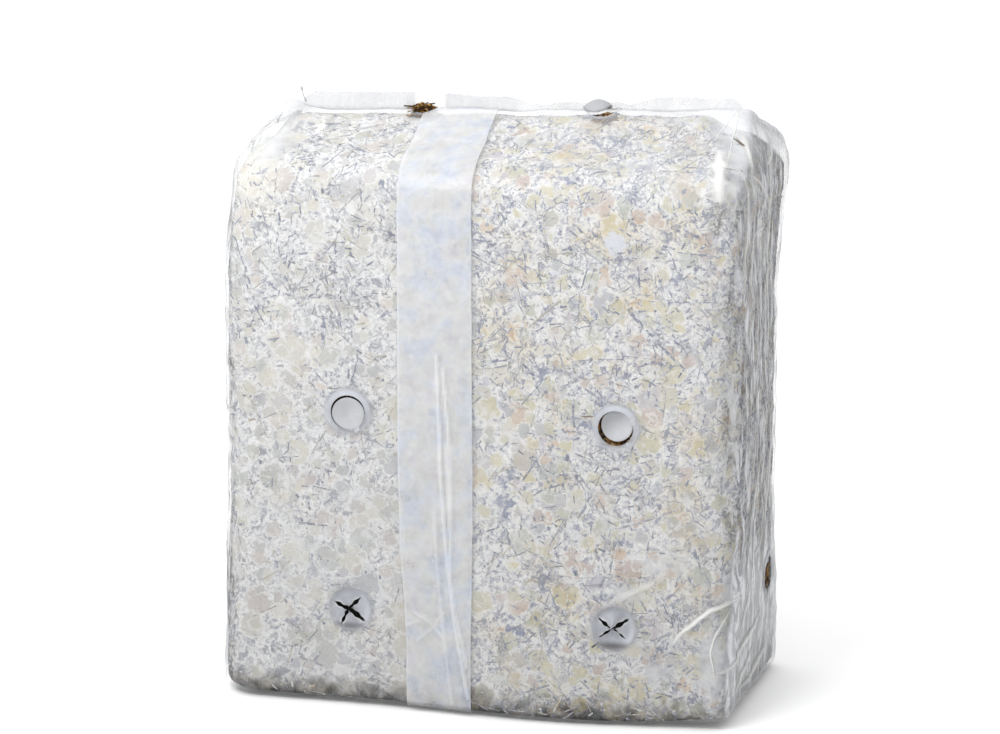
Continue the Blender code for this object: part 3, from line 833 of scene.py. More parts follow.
# %% Draw the skin in to the solid film
CORE = 0.070                              # the vertices are drawn towards a core this deep inside
TENT = 0.0100                             # the left top corner's tent stands this much fuller
places = places_of(skin)
aims = np.clip(places, np.array(cad_low) + CORE, np.array(cad_high) - CORE)
drawn = places.copy()
for i, (start, aim) in enumerate(zip(places, aims)):
    way = Vector(aim - start)
    spot, _, _, _ = film_tree.ray_cast(Vector(start), way.normalized(), way.length)
    through = spot is None or (Vector(start) - spot).length > 0.9 * way.length
    drawn[i] = film_tree.find_nearest(Vector(start))[0] if through else spot
move_to(skin, drawn)
apply_modifier(skin, "SMOOTH", factor=0.5, iterations=16)
places = places_of(skin)
facing = normals_of(skin)
fuller = TENT * hump(places[:, 0], -0.174, 0.015) * hump(places[:, 1], RIDGE_Y, 0.036)
places[:, 2] += fuller * smooth_step(0.05, 0.45, facing[:, 2])
move_to(skin, places + facing * (packing(places) + 0.0003)[:, None])
print("skin drawn in, lowest point in mm", round(places_of(skin)[:, 2].min() / MM, 2))

# %% [markdown]
# ## Creases
#
# Stretched film creases in straight or gently curved ridges. Each crease is a line of a few
# points on its wall, with a width and a height. The folds themselves are laid on the skin
# further down, once the openings are cut, and the left end gets the right end's, mirrored.
# Where the film stands off the straw, in the top corners and in soft patches on the front, it
# is a little milky.

# %% Crease lines and tents
FRONT_WALL, RIGHT_WALL, LEFT_WALL, ROOF = (1, -1), (0, 1), (0, -1), (2, 1)   # axis and way faced
CREASES = (  # wall, points on it in mm, width and height in mm, milkiness, which also paints a highlight on the crest
    (FRONT_WALL, ((153, 66), (160, 77), (168, 84), (182, 96), (196, 101), (203, 103)), 2.8, 2.2, 1.0),
    (FRONT_WALL, ((198, 97), (193, 89), (186, 75), (183, 64), (188, 38)), 1.5, 1.2, 0.8),
    (FRONT_WALL, ((122, 146), (143, 144), (153, 139), (165, 139), (174, 130)), 3.5, 1.0, 0.35),
    (FRONT_WALL, ((98, 96), (129, 110), (148, 123)), 4.5, 1.4, 0.45),
    (RIGHT_WALL, ((-17, 100), (-40, 90), (-65, 77)), 2.4, 1.8, 0.9),
    (RIGHT_WALL, ((15, 69), (-14, 60), (-65, 57), (-92, 46)), 3.2, 2.6, 1.0),
    (RIGHT_WALL, ((2, 44), (-29, 38), (-59, 30), (-80, 24)), 2.6, 2.0, 0.9),
    (RIGHT_WALL, ((50, 51), (36, 31), (-12, 23), (-59, 23)), 3.0, 2.6, 0.9),
    (RIGHT_WALL, ((-30, 145), (-37, 137), (-54, 118)), 1.8, 1.3, 0.7),
    (RIGHT_WALL, ((10, 130), (7, 125), (-18, 118)), 1.8, 1.2, 0.7),
    (RIGHT_WALL, ((34, 221), (31, 190), (29, 165), (6, 125)), 2.0, 1.6, 0.8),
    (RIGHT_WALL, ((12, 212), (-32, 166), (-47, 126)), 2.0, 1.6, 0.7),
    (RIGHT_WALL, ((11, 455), (22, 447), (24, 437), (20, 429), (2, 423)), 2.0, 1.8, 0.9),
    (RIGHT_WALL, ((-23, 453), (-31, 447), (-40, 441), (-51, 434), (-54, 425)), 2.2, 1.8, 0.9),
    (RIGHT_WALL, ((-65, 434), (-33, 419), (2, 399), (12, 388)), 2.4, 1.8, 0.6),
    (RIGHT_WALL, ((4, 377), (-30, 380), (-57, 377)), 3.0, 1.4, 0.4),
    (RIGHT_WALL, ((-62, 446), (-70, 420), (-73, 380), (-70, 330)), 2.4, 1.6, 0.5),
    (RIGHT_WALL, ((-38, 440), (-48, 400), (-50, 350), (-45, 300)), 2.2, 1.6, 0.5),
    (RIGHT_WALL, ((20, 430), (12, 380), (14, 330), (22, 270)), 2.4, 1.8, 0.6),
    (RIGHT_WALL, ((-10, 360), (-16, 310), (-12, 260)), 2.0, 1.4, 0.45),
    (ROOF, ((184, 2), (177, -15), (170, -33)), 0.9, 0.7, 0.75),
    (ROOF, ((184, 1), (185, -30), (186, -54)), 1.0, 0.8, 0.75),
    (ROOF, ((176, -40), (180, -58), (183, -75), (186, -90)), 8.0, 0.5, 1.0),
    (ROOF, ((-165, -18), (-172, -40), (-182, -62)), 1.4, 1.0, 0.7),
)
PATCHES = (  # film that stands a little off the straw on the front: middle and reach in mm, milkiness
    (146, 130, 22, 7, 0.36), (150, 46, 20, 10, 0.24), (120, 62, 12, 8, 0.26), (175, 70, 10, 14, 0.16),
    (118, 106, 16, 6, 0.30), (-134, 112, 22, 13, 0.24), (60, 40, 20, 12, 0.18),
    (-120, 30, 30, 10, 0.16), (30, 100, 18, 12, 0.14), (178, 300, 10, 60, 0.12),
    (184, 50, 12, 40, 0.40), (-95, 160, 30, 20, 0.12),
)


def distance_to_line(flat, line):
    """Distance in the wall's plane from each vertex to a line of points."""
    nearest = np.full(len(flat), 1.0)
    for start, end in zip(line, line[1:]):
        start, end = np.array(start) * MM, np.array(end) * MM
        way = end - start
        share = np.clip(((flat - start) @ way) / (way @ way), 0.0, 1.0)
        nearest = np.minimum(nearest, np.linalg.norm(flat - start - share[:, None] * way, axis=1))
    return nearest


places = places_of(skin)
facing = normals_of(skin)
gap = np.array([block_tree.find_nearest(place)[3] for place in places])
tent = smooth_step(0.0035, 0.0120, gap)
on_roof = smooth_step(0.25, 0.60, facing[:, 2])
milk = (0.18 + 0.50 * on_roof) * tent
milk += 0.13 * smooth_step(0.400, 0.440, places[:, 2]) * smooth_step(0.0, 0.05, places[:, 0])
for x, z, wide, high, cloud in PATCHES:
    milk = np.maximum(milk, cloud * spot_on(places, x, z, wide, high) * (places[:, 1] < -ON_WALL))
facing_end = np.where(facing[:, 0] > 0.0, smooth_step(0.55, 0.90, facing[:, 0]),
                      smooth_step(0.80, 0.98, -facing[:, 0]))
low_end = (1.0 - smooth_step(0.09, 0.15, places[:, 2])) * facing_end
left_shoulder = spot_on(places, -168, 437, 13, 13) * (places[:, 1] < -0.01)
milk = np.maximum.reduce([milk, 0.56 * low_end, 0.62 * left_shoulder])
store(skin, "milk", milk)
store(skin, "pleated", np.maximum(0.60 * facing_end, 0.50 * tent * (1.0 - on_roof)))
print("tented share", round(float(tent.mean()), 3), "widest gap in mm", round(gap.max() / MM, 1))

# %% [markdown]
# ## Polyethylene film
#
# Low-density polyethylene is clear when it lies wet on the straw and milky where it is doubled,
# stretched or free, because its two faces scatter light. The alpha therefore follows the
# milkiness that the mesh carries, plus a faint cloud, and fine wrinkles give the gloss
# something to catch. A veil tints the doubled film in blue, cream and lilac clouds, and pleats
# run up the ends as ragged streaks.

# %% The film's material
def pleated_alpha(tree, place, alpha):
    """Streaks of pleats on the ends, and film that is clear along the foot, where it lies soaked on the
    straw.
    """
    stretched = add_node(tree, "Mapping", {0: place, "Scale": (1.0, 1.0, 0.28)}).outputs[0]
    streak = span(tree, noise_at(tree, stretched, 8.0, 6.0, 0.7, 0.5), 0.49, 0.60)
    streak = reckon(tree, "MULTIPLY", streak, carried(tree, "pleated"))
    return reckon(tree, "MULTIPLY", reckon(tree, "ADD", alpha, streak),
                  span(tree, height_of(tree, place), 0.006, 0.030, 0.35, 1.0))


def film_surface(name, clear, milky, tint, veil=0.0, pleats=False):
    """Film blown thin, so it is glossy with fine wrinkles. Its alpha runs from clear to milky."""
    surface, tree, shader = new_surface(name, {"Roughness": 0.42, "IOR": 1.51})
    place = add_node(tree, "TexCoord").outputs["Object"]
    # darkens the film towards 66656a: painted shade on the discs and X cuts, and a plain grey on the roof
    # flap
    colour = mixed(tree, carried(tree, "shade_and_grey"), linear(tint), linear("66656a"))
    haze = ramp(tree, noise_at(tree, place, 17.0, 5.0, 0.65),
                (0.38, "dde5f4"), (0.47, "e8ebf2"), (0.55, "efefec"), (0.66, "e8e5ec"))
    colour = mixed(tree, veil, colour, haze)
    # painted contact shadow, with some soil, darkens the film's lowest few millimetres
    soil_and_shade = span(tree, height_of(tree, place), 0.0015, 0.0085, 0.95, 0.0)
    colour = mixed(tree, soil_and_shade, colour, linear("2e2a27"))
    # painted highlight along the flaps' torn edges, where the torn film is also whiter
    colour = mixed(tree, carried(tree, "torn_edge_highlight"), colour, linear("f6f7fa"))
    # painted shade, a little darker towards the foot
    tree.links.new(painted_foot_shade(tree, place, colour, 0.80), shader.inputs["Base Color"])

    alpha = span(tree, carried(tree, "milk"), 0.0, 1.0, clear, milky)
    if pleats:
        alpha = pleated_alpha(tree, place, alpha)
    cloud = span(tree, noise_at(tree, place, 18.0, 4.0, 0.6), 0.35, 0.7, -0.05, 0.14)
    tree.links.new(reckon(tree, "ADD", alpha, cloud, use_clamp=True), shader.inputs["Alpha"])
    roughened(tree, shader, noise_at(tree, place, 7.0, 3.0, 0.55, 0.6), 0.5, 0.0012)
    return surface


clear_film = film_surface("polyethylene_film", 0.17, 0.85, "e6e8ec", pleats=True)
finish_piece(skin, clear_film)
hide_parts("bag_film")

# %% [markdown]
# ## Openings
#
# Each opening has a seat: a frame on the wall with its own right, up and outward directions.
# Around an opening the film is drawn smooth, so the skin is first laid on a plain membrane that
# spans the ring of film around it, and its squares inside the ring are taken out. The rim, the
# hanging disc or the four flaps are then built on the same membrane.

# %% Seats
def seat_at(place, outward, upward=(0.0, 0.0, 1.0)):
    """A frame on the skin under a place: right, up and outward are its x, y and z."""
    axis = Vector(outward).normalized()
    right = Vector(upward).cross(axis).normalized()
    up = axis.cross(right)
    start = Vector(place) + axis * 0.06
    spot, _, _, _ = skin_tree.ray_cast(start, -axis, 0.12)
    seat = Matrix((right, up, axis)).transposed().to_4x4()
    seat.translation = spot
    return seat


class Membrane:
    """The smooth surface that the film forms across a ring around a seat."""

    def __init__(self, seat, reach):
        self.seat, self.reach = seat, reach
        self.angles = np.linspace(-math.pi, math.pi, 49)
        self.heights = np.array([self.cast(reach * math.cos(a), reach * math.sin(a)) for a in self.angles])

    def cast(self, u, v):
        """Height of the skin above the seat's plane."""
        start = self.seat @ Vector((u, v, 0.04))
        axis = self.seat.to_3x3().col[2]
        spot, _, _, _ = skin_tree.ray_cast(start, -axis, 0.09)
        return 0.0 if spot is None else (self.seat.inverted() @ spot).z

    def height(self, u, v):
        """Height of the membrane above the seat's plane, for arrays."""
        share = np.clip(np.hypot(u, v) / self.reach, 0.0, 1.0) ** 2
        rim = np.interp(np.arctan2(v, u), self.angles, self.heights)
        return share * rim + (1.0 - share) * self.heights.mean()

    def place(self, u, v, lift):
        """Places in the scene for points of the membrane raised by a lift."""
        local = np.stack([u, v, self.height(u, v) + lift], axis=-1)
        turn = np.array(self.seat.to_3x3())
        return local @ turn.T + np.array(self.seat.translation)


def in_seat(seat, places):
    """Places seen from a seat, as right, up and outward."""
    turn = np.array(seat.to_3x3())
    return (places - np.array(seat.translation)) @ turn


skin_tree = tree_of(skin)
seats = {}
for name, ((x, z), side) in {**HOLES, **CUTS}.items():
    seats[name] = seat_at((x, 0.10 * side, z), (0.0, side, 0.0))
for name, (x, y, z) in zip(("end_right", "end_left"), END_HOLES):
    seats[name] = seat_at((x, y, z), (math.copysign(1.0, x), 0.0, 0.0))
DRAWN_TO, DRAWN_FROM = 0.0215, 0.0185      # the film is drawn smooth up to here around an opening
RING_END = 0.0212                          # and the ring on it ends just inside
WALL_DEPTH = 0.03                          # a seat's own wall lies within this of its plane
UNDER_RING = 0.0004                        # the skin lies this far under the ring
membranes = {name: Membrane(seat, DRAWN_TO) for name, seat in seats.items()}

places = places_of(skin)
for membrane in membranes.values():
    local = in_seat(membrane.seat, places)
    away = np.hypot(local[:, 0], local[:, 1])
    near = np.flatnonzero((away < DRAWN_TO) & (np.abs(local[:, 2]) < WALL_DEPTH))
    flat = membrane.place(local[near, 0], local[near, 1], -UNDER_RING)
    keep = smooth_step(DRAWN_FROM, DRAWN_TO, away[near])[:, None]
    places[near] = flat * (1.0 - keep) + places[near] * keep
move_to(skin, places)
print("openings", len(membranes))


# %% Take the squares out of the openings
def open_up(piece, seat, radius):
    """Takes out the faces whose middles lie inside a round opening."""
    mesh = bmesh.new()
    mesh.from_mesh(piece.data)
    middles = np.array([face.calc_center_median()[:] for face in mesh.faces])
    local = in_seat(seat, middles)
    inside = (np.hypot(local[:, 0], local[:, 1]) < radius) & (np.abs(local[:, 2]) < WALL_DEPTH)
    mesh.faces.ensure_lookup_table()
    gone = [mesh.faces[i] for i in np.flatnonzero(inside)]
    bmesh.ops.delete(mesh, geom=gone, context="FACES")
    mesh.to_mesh(piece.data)
    mesh.free()
    return len(gone)


BEHIND_FIN = 0.0055                        # the left roof hole opens mostly behind the fin
WALL_OPENING, ROOF_OPENING = 0.0155, 0.0115       # radii within which the skin's squares go
x, y, z = ROOF_HOLES[0]
roof_seats = {"roof_left": seat_at((x, y + BEHIND_FIN, z), (0, 0, 1), (0, 1, 0)),
              "roof_right": seat_at(ROOF_HOLES[1], (0, 0, 1), (0, 1, 0))}
for name, seat in {**seats, **roof_seats}.items():
    gone = open_up(skin, seat, ROOF_OPENING if name in roof_seats else WALL_OPENING)
    print(name, "squares taken out", gone)


# %% Sheets
def sheet(name, rows):
    """A grid of squares laid on rows of points."""
    count, width = rows.shape[:2]
    deselect_all()
    bpy.ops.mesh.primitive_grid_add(x_subdivisions=width - 1, y_subdivisions=count - 1)
    piece = bpy.context.object
    piece.name = name
    move_to(piece, rows.reshape(-1, 3))
    return piece


def close_seam(piece):
    """Welds vertices that lie on each other and turns all faces outward."""
    edit_all(piece, (bpy.ops.mesh.remove_doubles, {"threshold": 2.0 * TOUCHING}), FACE_OUTWARD)


def thicken(piece, thickness, offset=1.0):
    """Gives a sheet its thickness."""
    apply_modifier(piece, "SOLIDIFY", thickness=thickness, offset=offset)
    close_seam(piece)


def join(name, pieces):
    """Makes one piece of several."""
    activate(pieces[0])
    for piece in pieces:
        piece.select_set(True)
    bpy.ops.object.join()
    bpy.context.object.name = name
    return bpy.context.object


def polar(radii, angles):
    """Flat points on rings, one row for each radius."""
    return radii[:, None] * np.cos(angles), radii[:, None] * np.sin(angles)


# %% Rims and hanging discs
FILM = 0.00025                             # the film as drawn here, between its two faces
TURN = 2.0 * math.pi
RIM_FROM = 0.0136                          # a rim starts just inside its hole's edge
OFF_SKIN, SINKS = 0.0003, 0.0006           # the ring stands off the skin, and its outer edge sinks in
TAB_HALF, TAB_GRIP = 0.0026, 0.0015        # half a tab's width, and its hold on the disc and the ring


def rim(membrane, inner, outer, name):
    """The ring of film drawn smooth around a punched hole."""
    angles, radii = np.linspace(0.0, TURN, 73), np.linspace(inner, outer, 9)
    share = (radii - inner) / (outer - inner)
    u, v = polar(radii, angles)
    lift = np.broadcast_to(OFF_SKIN - SINKS * smooth_step(0.6, 1.0, share)[:, None], u.shape)
    piece = sheet(name, membrane.place(u, v, lift))
    fade = 1.0 - smooth_step(0.35, 1.0, share)
    store(piece, "milk", (fade[:, None] * (0.72 + 0.28 * np.sin(angles))).ravel())
    close_seam(piece)
    return piece


def hanging_disc(membrane, radius, hinge, shift, sink, belly, painted_shade, name):
    """A punched disc on its tab: hinge is the tab's angle, sink the far edge's depth."""
    angles, radii = np.linspace(0.0, TURN, 49), np.linspace(0.0, radius, 9)
    u, v = polar(radii, angles)
    far = 0.5 - 0.5 * (u * math.cos(hinge) + v * math.sin(hinge)) / radius
    out = (radii[:, None] / radius) ** 2
    swell = belly * (1.0 - out) + 0.0004 * np.sin(3.0 * angles + hinge) * out
    disc = sheet(name, membrane.place(u + shift[0], v + shift[1], swell - sink * far))
    # painted shade: the disc darkens towards its upper left
    store(disc, "shade_and_grey", (painted_shade * smooth_step(-0.8, 0.9, (v - 0.8 * u) / radius)).ravel())
    thicken(disc, FILM)
    along = np.linspace(radius - TAB_GRIP, HOLE_RADIUS + TAB_GRIP, 5)
    half = np.linspace(-1.0, 1.0, 5) * TAB_HALF
    out_u = along[:, None] * math.cos(hinge) - half * math.sin(hinge) + shift[0]
    out_v = along[:, None] * math.sin(hinge) + half * math.cos(hinge) + shift[1]
    tab = sheet(name + "_tab", membrane.place(out_u, out_v, np.full(out_u.shape, 0.0004)))
    thicken(tab, FILM)
    return join(name, [disc, tab])


discs, rims = [], []
HANGING = (  # hole, disc's radius in mm, tab's angle, sink, belly and shift in mm, painted shade
    ("punched_left", 13.0, -62.0, -0.4, 1.6, (0.4, -1.0), 0.25),
    ("punched_right", 12.2, 14.0, 0.8, -2.0, (0.9, 1.9), 0.5),
    ("back_punched_left", 13.0, 80.0, 1.6, 1.2, (0.3, 1.2), 0.25),
    ("back_punched_right", 13.0, 100.0, 0.8, 1.4, (-0.5, 0.9), 0.25),
    ("end_right", 13.0, 90.0, 6.0, 1.0, (0.0, 1.2), 0.25),
    ("end_left", 13.0, 95.0, 3.0, 1.2, (0.2, 1.2), 0.25),
)
for name, radius, hinge, sink, belly, shift, painted_shade in HANGING:
    membrane = membranes[name]
    rims.append(rim(membrane, RIM_FROM, RING_END, name + "_rim"))
    shift = tuple(part * MM for part in shift)
    discs.append(hanging_disc(membrane, radius * MM, math.radians(hinge), shift,
                              sink * MM, belly * MM, painted_shade, name + "_disc"))
print("discs that hang in their holes", len(discs))


# %% X cuts
GAPE = 0.0011                              # half the width of a slit whose gape is 1
HEART, FLAPS_END, BORDER = 0.0014, 0.0165, 0.0175  # radii: the middle, the flaps' foot, the border


def slit_turn(radii, arm, length, gape):
    """How far a flap's edge is turned away from its slit's middle line, ragged from tearing."""
    ragged = 1.0 + 0.35 * np.sin(radii / 0.0011 + arm)
    half = GAPE * gape * ragged * (1.0 - np.clip(radii / (length * MM), 0.0, 1.0) ** 7)
    return np.arcsin(np.clip(half / radii, 0.0, 0.7))


def cut_patch(membrane, arms, lengths, lifts, gapes, painted_shade, name):
    """The smooth film around an X cut, with its four flaps. The last one, at the bottom, is darkened by
    painted shadow.
    """
    parts = []
    slits = list(zip(arms, lengths, gapes))
    radii = np.concatenate([np.linspace(HEART, FLAPS_END, 15), np.linspace(BORDER, RING_END, 4)])
    share = np.linspace(0.0, 1.0, 17)
    for i, lift in enumerate(lifts):
        (arm, length_a, _), (_, length_b, _) = slits[i], slits[(i + 1) % 4]
        start, end = math.radians(arm), math.radians(arms[i + 1] if i < 3 else arms[0] + 360.0)
        turn_a, turn_b = (slit_turn(radii, *slit) for slit in (slits[i], slits[(i + 1) % 4]))
        angles = (start + turn_a)[:, None] + (end - start - turn_a - turn_b)[:, None] * share
        u, v = polar(radii, angles)
        reach = length_a * MM + (length_b - length_a) * MM * share
        inward = np.clip(1.0 - radii[:, None] / reach, 0.0, 1.0)
        crown = 1.0 - 0.45 * (2.0 * share - 1.0) ** 2
        raised = lift * MM * inward ** 0.8 * crown + 0.0009 * np.sin(5.0 * angles + arm) * inward
        skirt = OFF_SKIN - SINKS * smooth_step(FLAPS_END, RING_END, radii)[:, None]
        part = sheet(name + "_part", membrane.place(u, v, raised + skirt))
        fade = np.broadcast_to((1.0 - smooth_step(0.0145, RING_END, radii))[:, None], u.shape)
        patchy = 0.72 + 0.28 * np.sin(angles + 2.2) * smooth_step(0.010, 0.017, radii)[:, None]
        store(part, "milk", (fade * patchy).ravel())
        # painted shadow over the bottom flap, below the lower slits
        dark = painted_shade * smooth_step(-0.009, -0.014, v) * smooth_step(0.015, 0.010, np.abs(u)) * fade
        store(part, "shade_and_grey", dark.ravel())
        # painted highlight on the flaps' torn edges, stronger on raised flaps; the torn film is also
        # whiter
        torn_edge_highlight = smooth_step(0.70, 1.0, np.abs(2.0 * share - 1.0)) * smooth_step(0.0, 0.3, inward)
        store(part, "torn_edge_highlight", (torn_edge_highlight * (0.4 + 0.6 * (lift > 0.0))).ravel())
        parts.append(part)
    patch = join(name, parts)
    close_seam(patch)
    return patch


CUT_SHAPES = (  # cut, its slits' angles, lengths in mm, flaps' lifts in mm, slits' gapes, painted shadow
    ("cut_left", (-37.0, 45.0, 157.0, 244.0), (16.0, 13.0, 12.5, 15.5), (-2.5, 1.5, 6.0, 4.0),
     (1.3, 1.3, 1.2, 1.0), 0.75),
    ("cut_right", (-38.0, 33.0, 146.0, 216.0), (13.0, 14.5, 13.5, 13.0), (2.5, 9.5, 3.0, -4.5),
     (0.9, 1.5, 1.5, 0.9), 0.95),
    ("back_cut_left", (-45.0, 46.0, 134.0, 222.0), (14.0, 13.0, 14.0, 13.0), (0.8, -1.2, 2.4, -1.6),
     (1.0, 1.2, 1.0, 0.9), 0.4),
    ("back_cut_right", (-40.0, 44.0, 138.0, 226.0), (13.0, 14.0, 13.0, 14.0), (-1.2, 2.6, -0.8, 1.0),
     (1.1, 0.9, 1.1, 1.0), 0.4),
)
cuts = [cut_patch(membranes[name], *shape, name) for name, *shape in CUT_SHAPES]
print("X cuts", len(cuts))

# %% Roof openings
def on_skin(u, v, seat, lift):
    """Places on the skin itself under flat points around a seat."""
    axis = seat.to_3x3().col[2]
    spots = []
    for a, b in zip(np.ravel(u), np.ravel(v)):
        start = seat @ Vector((a, b, 0.03))
        spot, _, _, _ = skin_tree.ray_cast(start, -axis, 0.08)
        spots.append(spot if spot is not None else start - axis * 0.03)
    return np.array(spots).reshape(*np.shape(u), 3) + np.array(axis) * np.asarray(lift)[..., None]


ROOF_RIM = (0.0112, 0.0150)                # its inner and outer radius
for name, seat in roof_seats.items():
    angles = np.linspace(0.0, TURN, 61)
    u, v = polar(np.linspace(*ROOF_RIM, 4), angles)
    piece = sheet(name + "_rim", on_skin(u, v, seat, np.full(u.shape, FILM)))
    store(piece, "milk", np.repeat([0.6, 0.5, 0.25, 0.0], len(angles)))
    close_seam(piece)
    rims.append(piece)

# the right roof hole's disc stands up from it, in front of the fin
FLAP_AT, FLAP_CROWN = (-0.0055, 0.0040), 0.0062
radii = np.linspace(0.0, ROOF_OPENING, 9)
u, v = polar(radii, np.linspace(0.0, TURN, 49))
u, v = u + FLAP_AT[0], v + FLAP_AT[1]
lift = np.broadcast_to(FLAP_CROWN * (1.0 - (radii[:, None] / 0.0125) ** 2) + 0.0005, u.shape)
flap = sheet("roof_right_flap", on_skin(u, v, roof_seats["roof_right"], lift))
# a plain darker grey over the whole flap
store(flap, "shade_and_grey", np.full(u.size, 0.30))
thicken(flap, FILM)
discs.append(flap)

# %% Finish the openings' pieces
drawn_film = film_surface("drawn_polyethylene_film", 0.0, 0.90, "c8cbd3")
flap_film = film_surface("doubled_polyethylene_film", 0.88, 0.95, "c3c5c9")
for name, pieces, film in (("hole_rims", rims, drawn_film), ("x_cuts", cuts, drawn_film),
                           ("hanging_discs", discs, flap_film)):
    finish_piece(join(name, pieces), film)

# %% Folds along the crease lines
WALL_AT = (0.200, 0.088, 0.440)            # about how far the ends, the front and the roof stand out
BEYOND = (0.26, 0.26, 0.52)                # clear of each wall
SUNK = 0.0001                              # a fold's edges lie in the skin
STEP, SWAY = 0.0011, 0.0005                # from one row of a fold to the next, and its swing
LOOPS, BULGES = 0.011, 0.009               # sizes of its bends and of its thicker parts


def eased(track, times):
    """A track whose corners are smoothed, between its fixed ends."""
    for _ in range(times):
        track[1:-1] = 0.5 * track[1:-1] + 0.25 * (track[:-2] + track[2:])
    return track


def fold(wall, line, width, height, cloud):
    """A small ridge of film along a line of points on a wall."""
    axis, side = wall
    outward = Vector((0.0, 0.0, 0.0))
    outward[axis] = float(side)
    line = np.array(line) * MM
    steps = np.concatenate([[0.0], np.cumsum(np.linalg.norm(np.diff(line, axis=0), axis=1))])
    along = np.linspace(0.0, steps[-1], max(int(steps[-1] / STEP), 6))
    track = eased(np.stack([np.interp(along, steps, line[:, i]) for i in (0, 1)], axis=1), 12)
    track += SWAY * np.stack([lumps(np.append(track, track[:, :1], 1), LOOPS, s) for s in (1.0, 8.0)], 1)
    ahead = unit(np.gradient(track, axis=0))
    aside = np.stack([-ahead[:, 1], ahead[:, 0]], axis=1)
    taper = np.sin(math.pi * np.linspace(0.03, 0.97, len(track))) ** 0.6
    uneven = 1.0 + 0.7 * lumps(np.append(track, track[:, :1], 1), BULGES, 15.0)
    offsets = np.linspace(-1.0, 1.0, 9)
    profile = (1.0 - offsets ** 2) ** 1.5
    rows = np.zeros((len(track), len(offsets), 3))
    for i in range(len(track)):
        for j, offset in enumerate(offsets):
            flat = track[i] + aside[i] * offset * width * MM * (0.5 + 0.5 * taper[i]) * uneven[i]
            start = Vector(np.insert(flat, axis, side * BEYOND[axis]))
            spot, normal, _, _ = skin_tree.ray_cast(start, -outward, 0.5)
            if spot is None or abs(spot[axis]) < WALL_AT[axis] - 0.03:
                start[axis] = side * WALL_AT[axis]
                spot, normal, _, _ = skin_tree.find_nearest(start)
            rows[i, j] = spot + normal * (profile[j] * height * MM * taper[i] - SUNK)
    piece = sheet("fold", rows)
    # milky crease film along the crest, partly a painted highlight
    store(piece, "milk", (cloud * profile ** 1.5 * taper[:, None]).ravel())
    return piece


folds = [fold(wall, line, width * (1.25 if wall == RIGHT_WALL else 1.0), height, cloud)
         for wall, line, width, height, cloud in CREASES]
folds += [fold(LEFT_WALL, [(-y, z) for y, z in line], width, 0.8 * height, 0.8 * cloud)
          for wall, line, width, height, cloud in CREASES if wall == RIGHT_WALL]
folds = join("film_folds", folds)
edit_all(folds, FACE_OUTWARD)
# near-white film on the folds: milky creases, partly a painted highlight along their crests
crease_film = film_surface("creased_polyethylene_film", 0.05, 0.95, "f0f0ee")
finish_piece(folds, crease_film)

# %% [markdown]
# ## Lap seam
#
# The tube was closed by lapping one edge of the film over the other, which left a band of
# doubled film down the front. It is a strip laid on the skin, milkier than the single film, and
# its slack has gathered in two long creases with a light strip between them.

# %% The seam's strip
BAND_LEFT = (                              # height and place of the band's edges, in mm
    (0, -54.8), (60, -55.2), (100, -57.5), (130, -60.5), (200, -61.8), (480, -61.8),
)
BAND_RIGHT = ((0, -2.6), (120, -3.0), (480, -4.0))
BAND_WIDTH, BAND_MILK = 0.059, 0.34
BAND_CREASES = (  # points in mm, width, height in mm, milk
    (((-31, 285), (-29, 226), (-28, 185), (-25, 150), (-21, 108), (-16, 73), (-10, 45), (-5, 16)),
     2.0, 1.5, 0.72),
    (((-26, 275), (-22, 226), (-20, 170), (-20, 110), (-16, 82), (-10, 60), (-6, 40)), 1.7, 1.1, 0.66),
    (((-33, 160), (-31, 120), (-27, 80), (-22, 45), (-18, 10)), 2.4, 0.7, 0.52),
    (((-48, 80), (-36, 73), (-24, 60)), 2.0, 0.9, 0.6),
    (((-60, 68), (-45, 73)), 2.0, 0.8, 0.55),
    (((-46, 58), (-35, 68), (-25, 82)), 2.0, 0.8, 0.5),
)
STRIP_LEFT = ((16, -5), (73, -16), (150, -25), (226, -29))     # the light strip, up to STRIP_RIGHT
STRIP_RIGHT = -0.0245
RAISED = 0.0004                            # the seam's strip lies this far off the skin
SEAM_STEP = 0.0015                         # from one row of the strip to the next
CLEAR_FRONT, CLEAR_TOP = -0.115, 0.490     # rays start here, in front of the bag and above it
drop = np.arange(0.0035, 0.475, SEAM_STEP)
roof_run = np.arange(-0.108, RIDGE_Y - SEAM_STEP, SEAM_STEP)
level = np.concatenate([drop, np.full(len(roof_run), CLEAR_TOP)])
depth = np.concatenate([np.full(len(drop), CLEAR_FRONT), roof_run])
across = np.linspace(0.0, 1.0, 41)
left = np.interp(level / MM, *zip(*BAND_LEFT)) * MM
right = np.interp(level / MM, *zip(*BAND_RIGHT)) * MM
rows = np.zeros((len(level), len(across), 3))
for i, (z, y, a, b) in enumerate(zip(level, depth, left, right)):
    for j, share in enumerate(across):
        start = Vector((a + (b - a) * share, y, z))
        aim = Vector((start.x, max(y, -0.032), min(z, 0.400)))
        spot, normal, _, _ = skin_tree.ray_cast(start, (aim - start).normalized(), 0.2)
        rows[i, j] = spot + normal * RAISED
flat = rows[..., [0, 2]].reshape(-1, 2)
rise, milk = np.zeros(len(flat)), np.full(len(flat), BAND_MILK)
front = rows[..., 1].ravel() < -0.06
for line, width, height, cloud in BAND_CREASES:
    shape = hump(distance_to_line(flat, line), 0.0, width * MM) * front
    rise = np.maximum(rise, shape * height * MM)
    milk = np.maximum(milk, shape * cloud)
strip_from = np.interp(flat[:, 1] / MM, *zip(*STRIP_LEFT)) * MM
between = smooth_step(0.0, 0.004, flat[:, 0] - strip_from)
between *= 1.0 - smooth_step(0.004, 0.009, flat[:, 0] - STRIP_RIGHT)
low_part = 1.0 - smooth_step(0.20, 0.24, flat[:, 1])
milk = np.maximum(milk, 0.62 * between * low_part * front).reshape(rows.shape[:2])
edge = np.minimum(across, 1.0 - across) * BAND_WIDTH
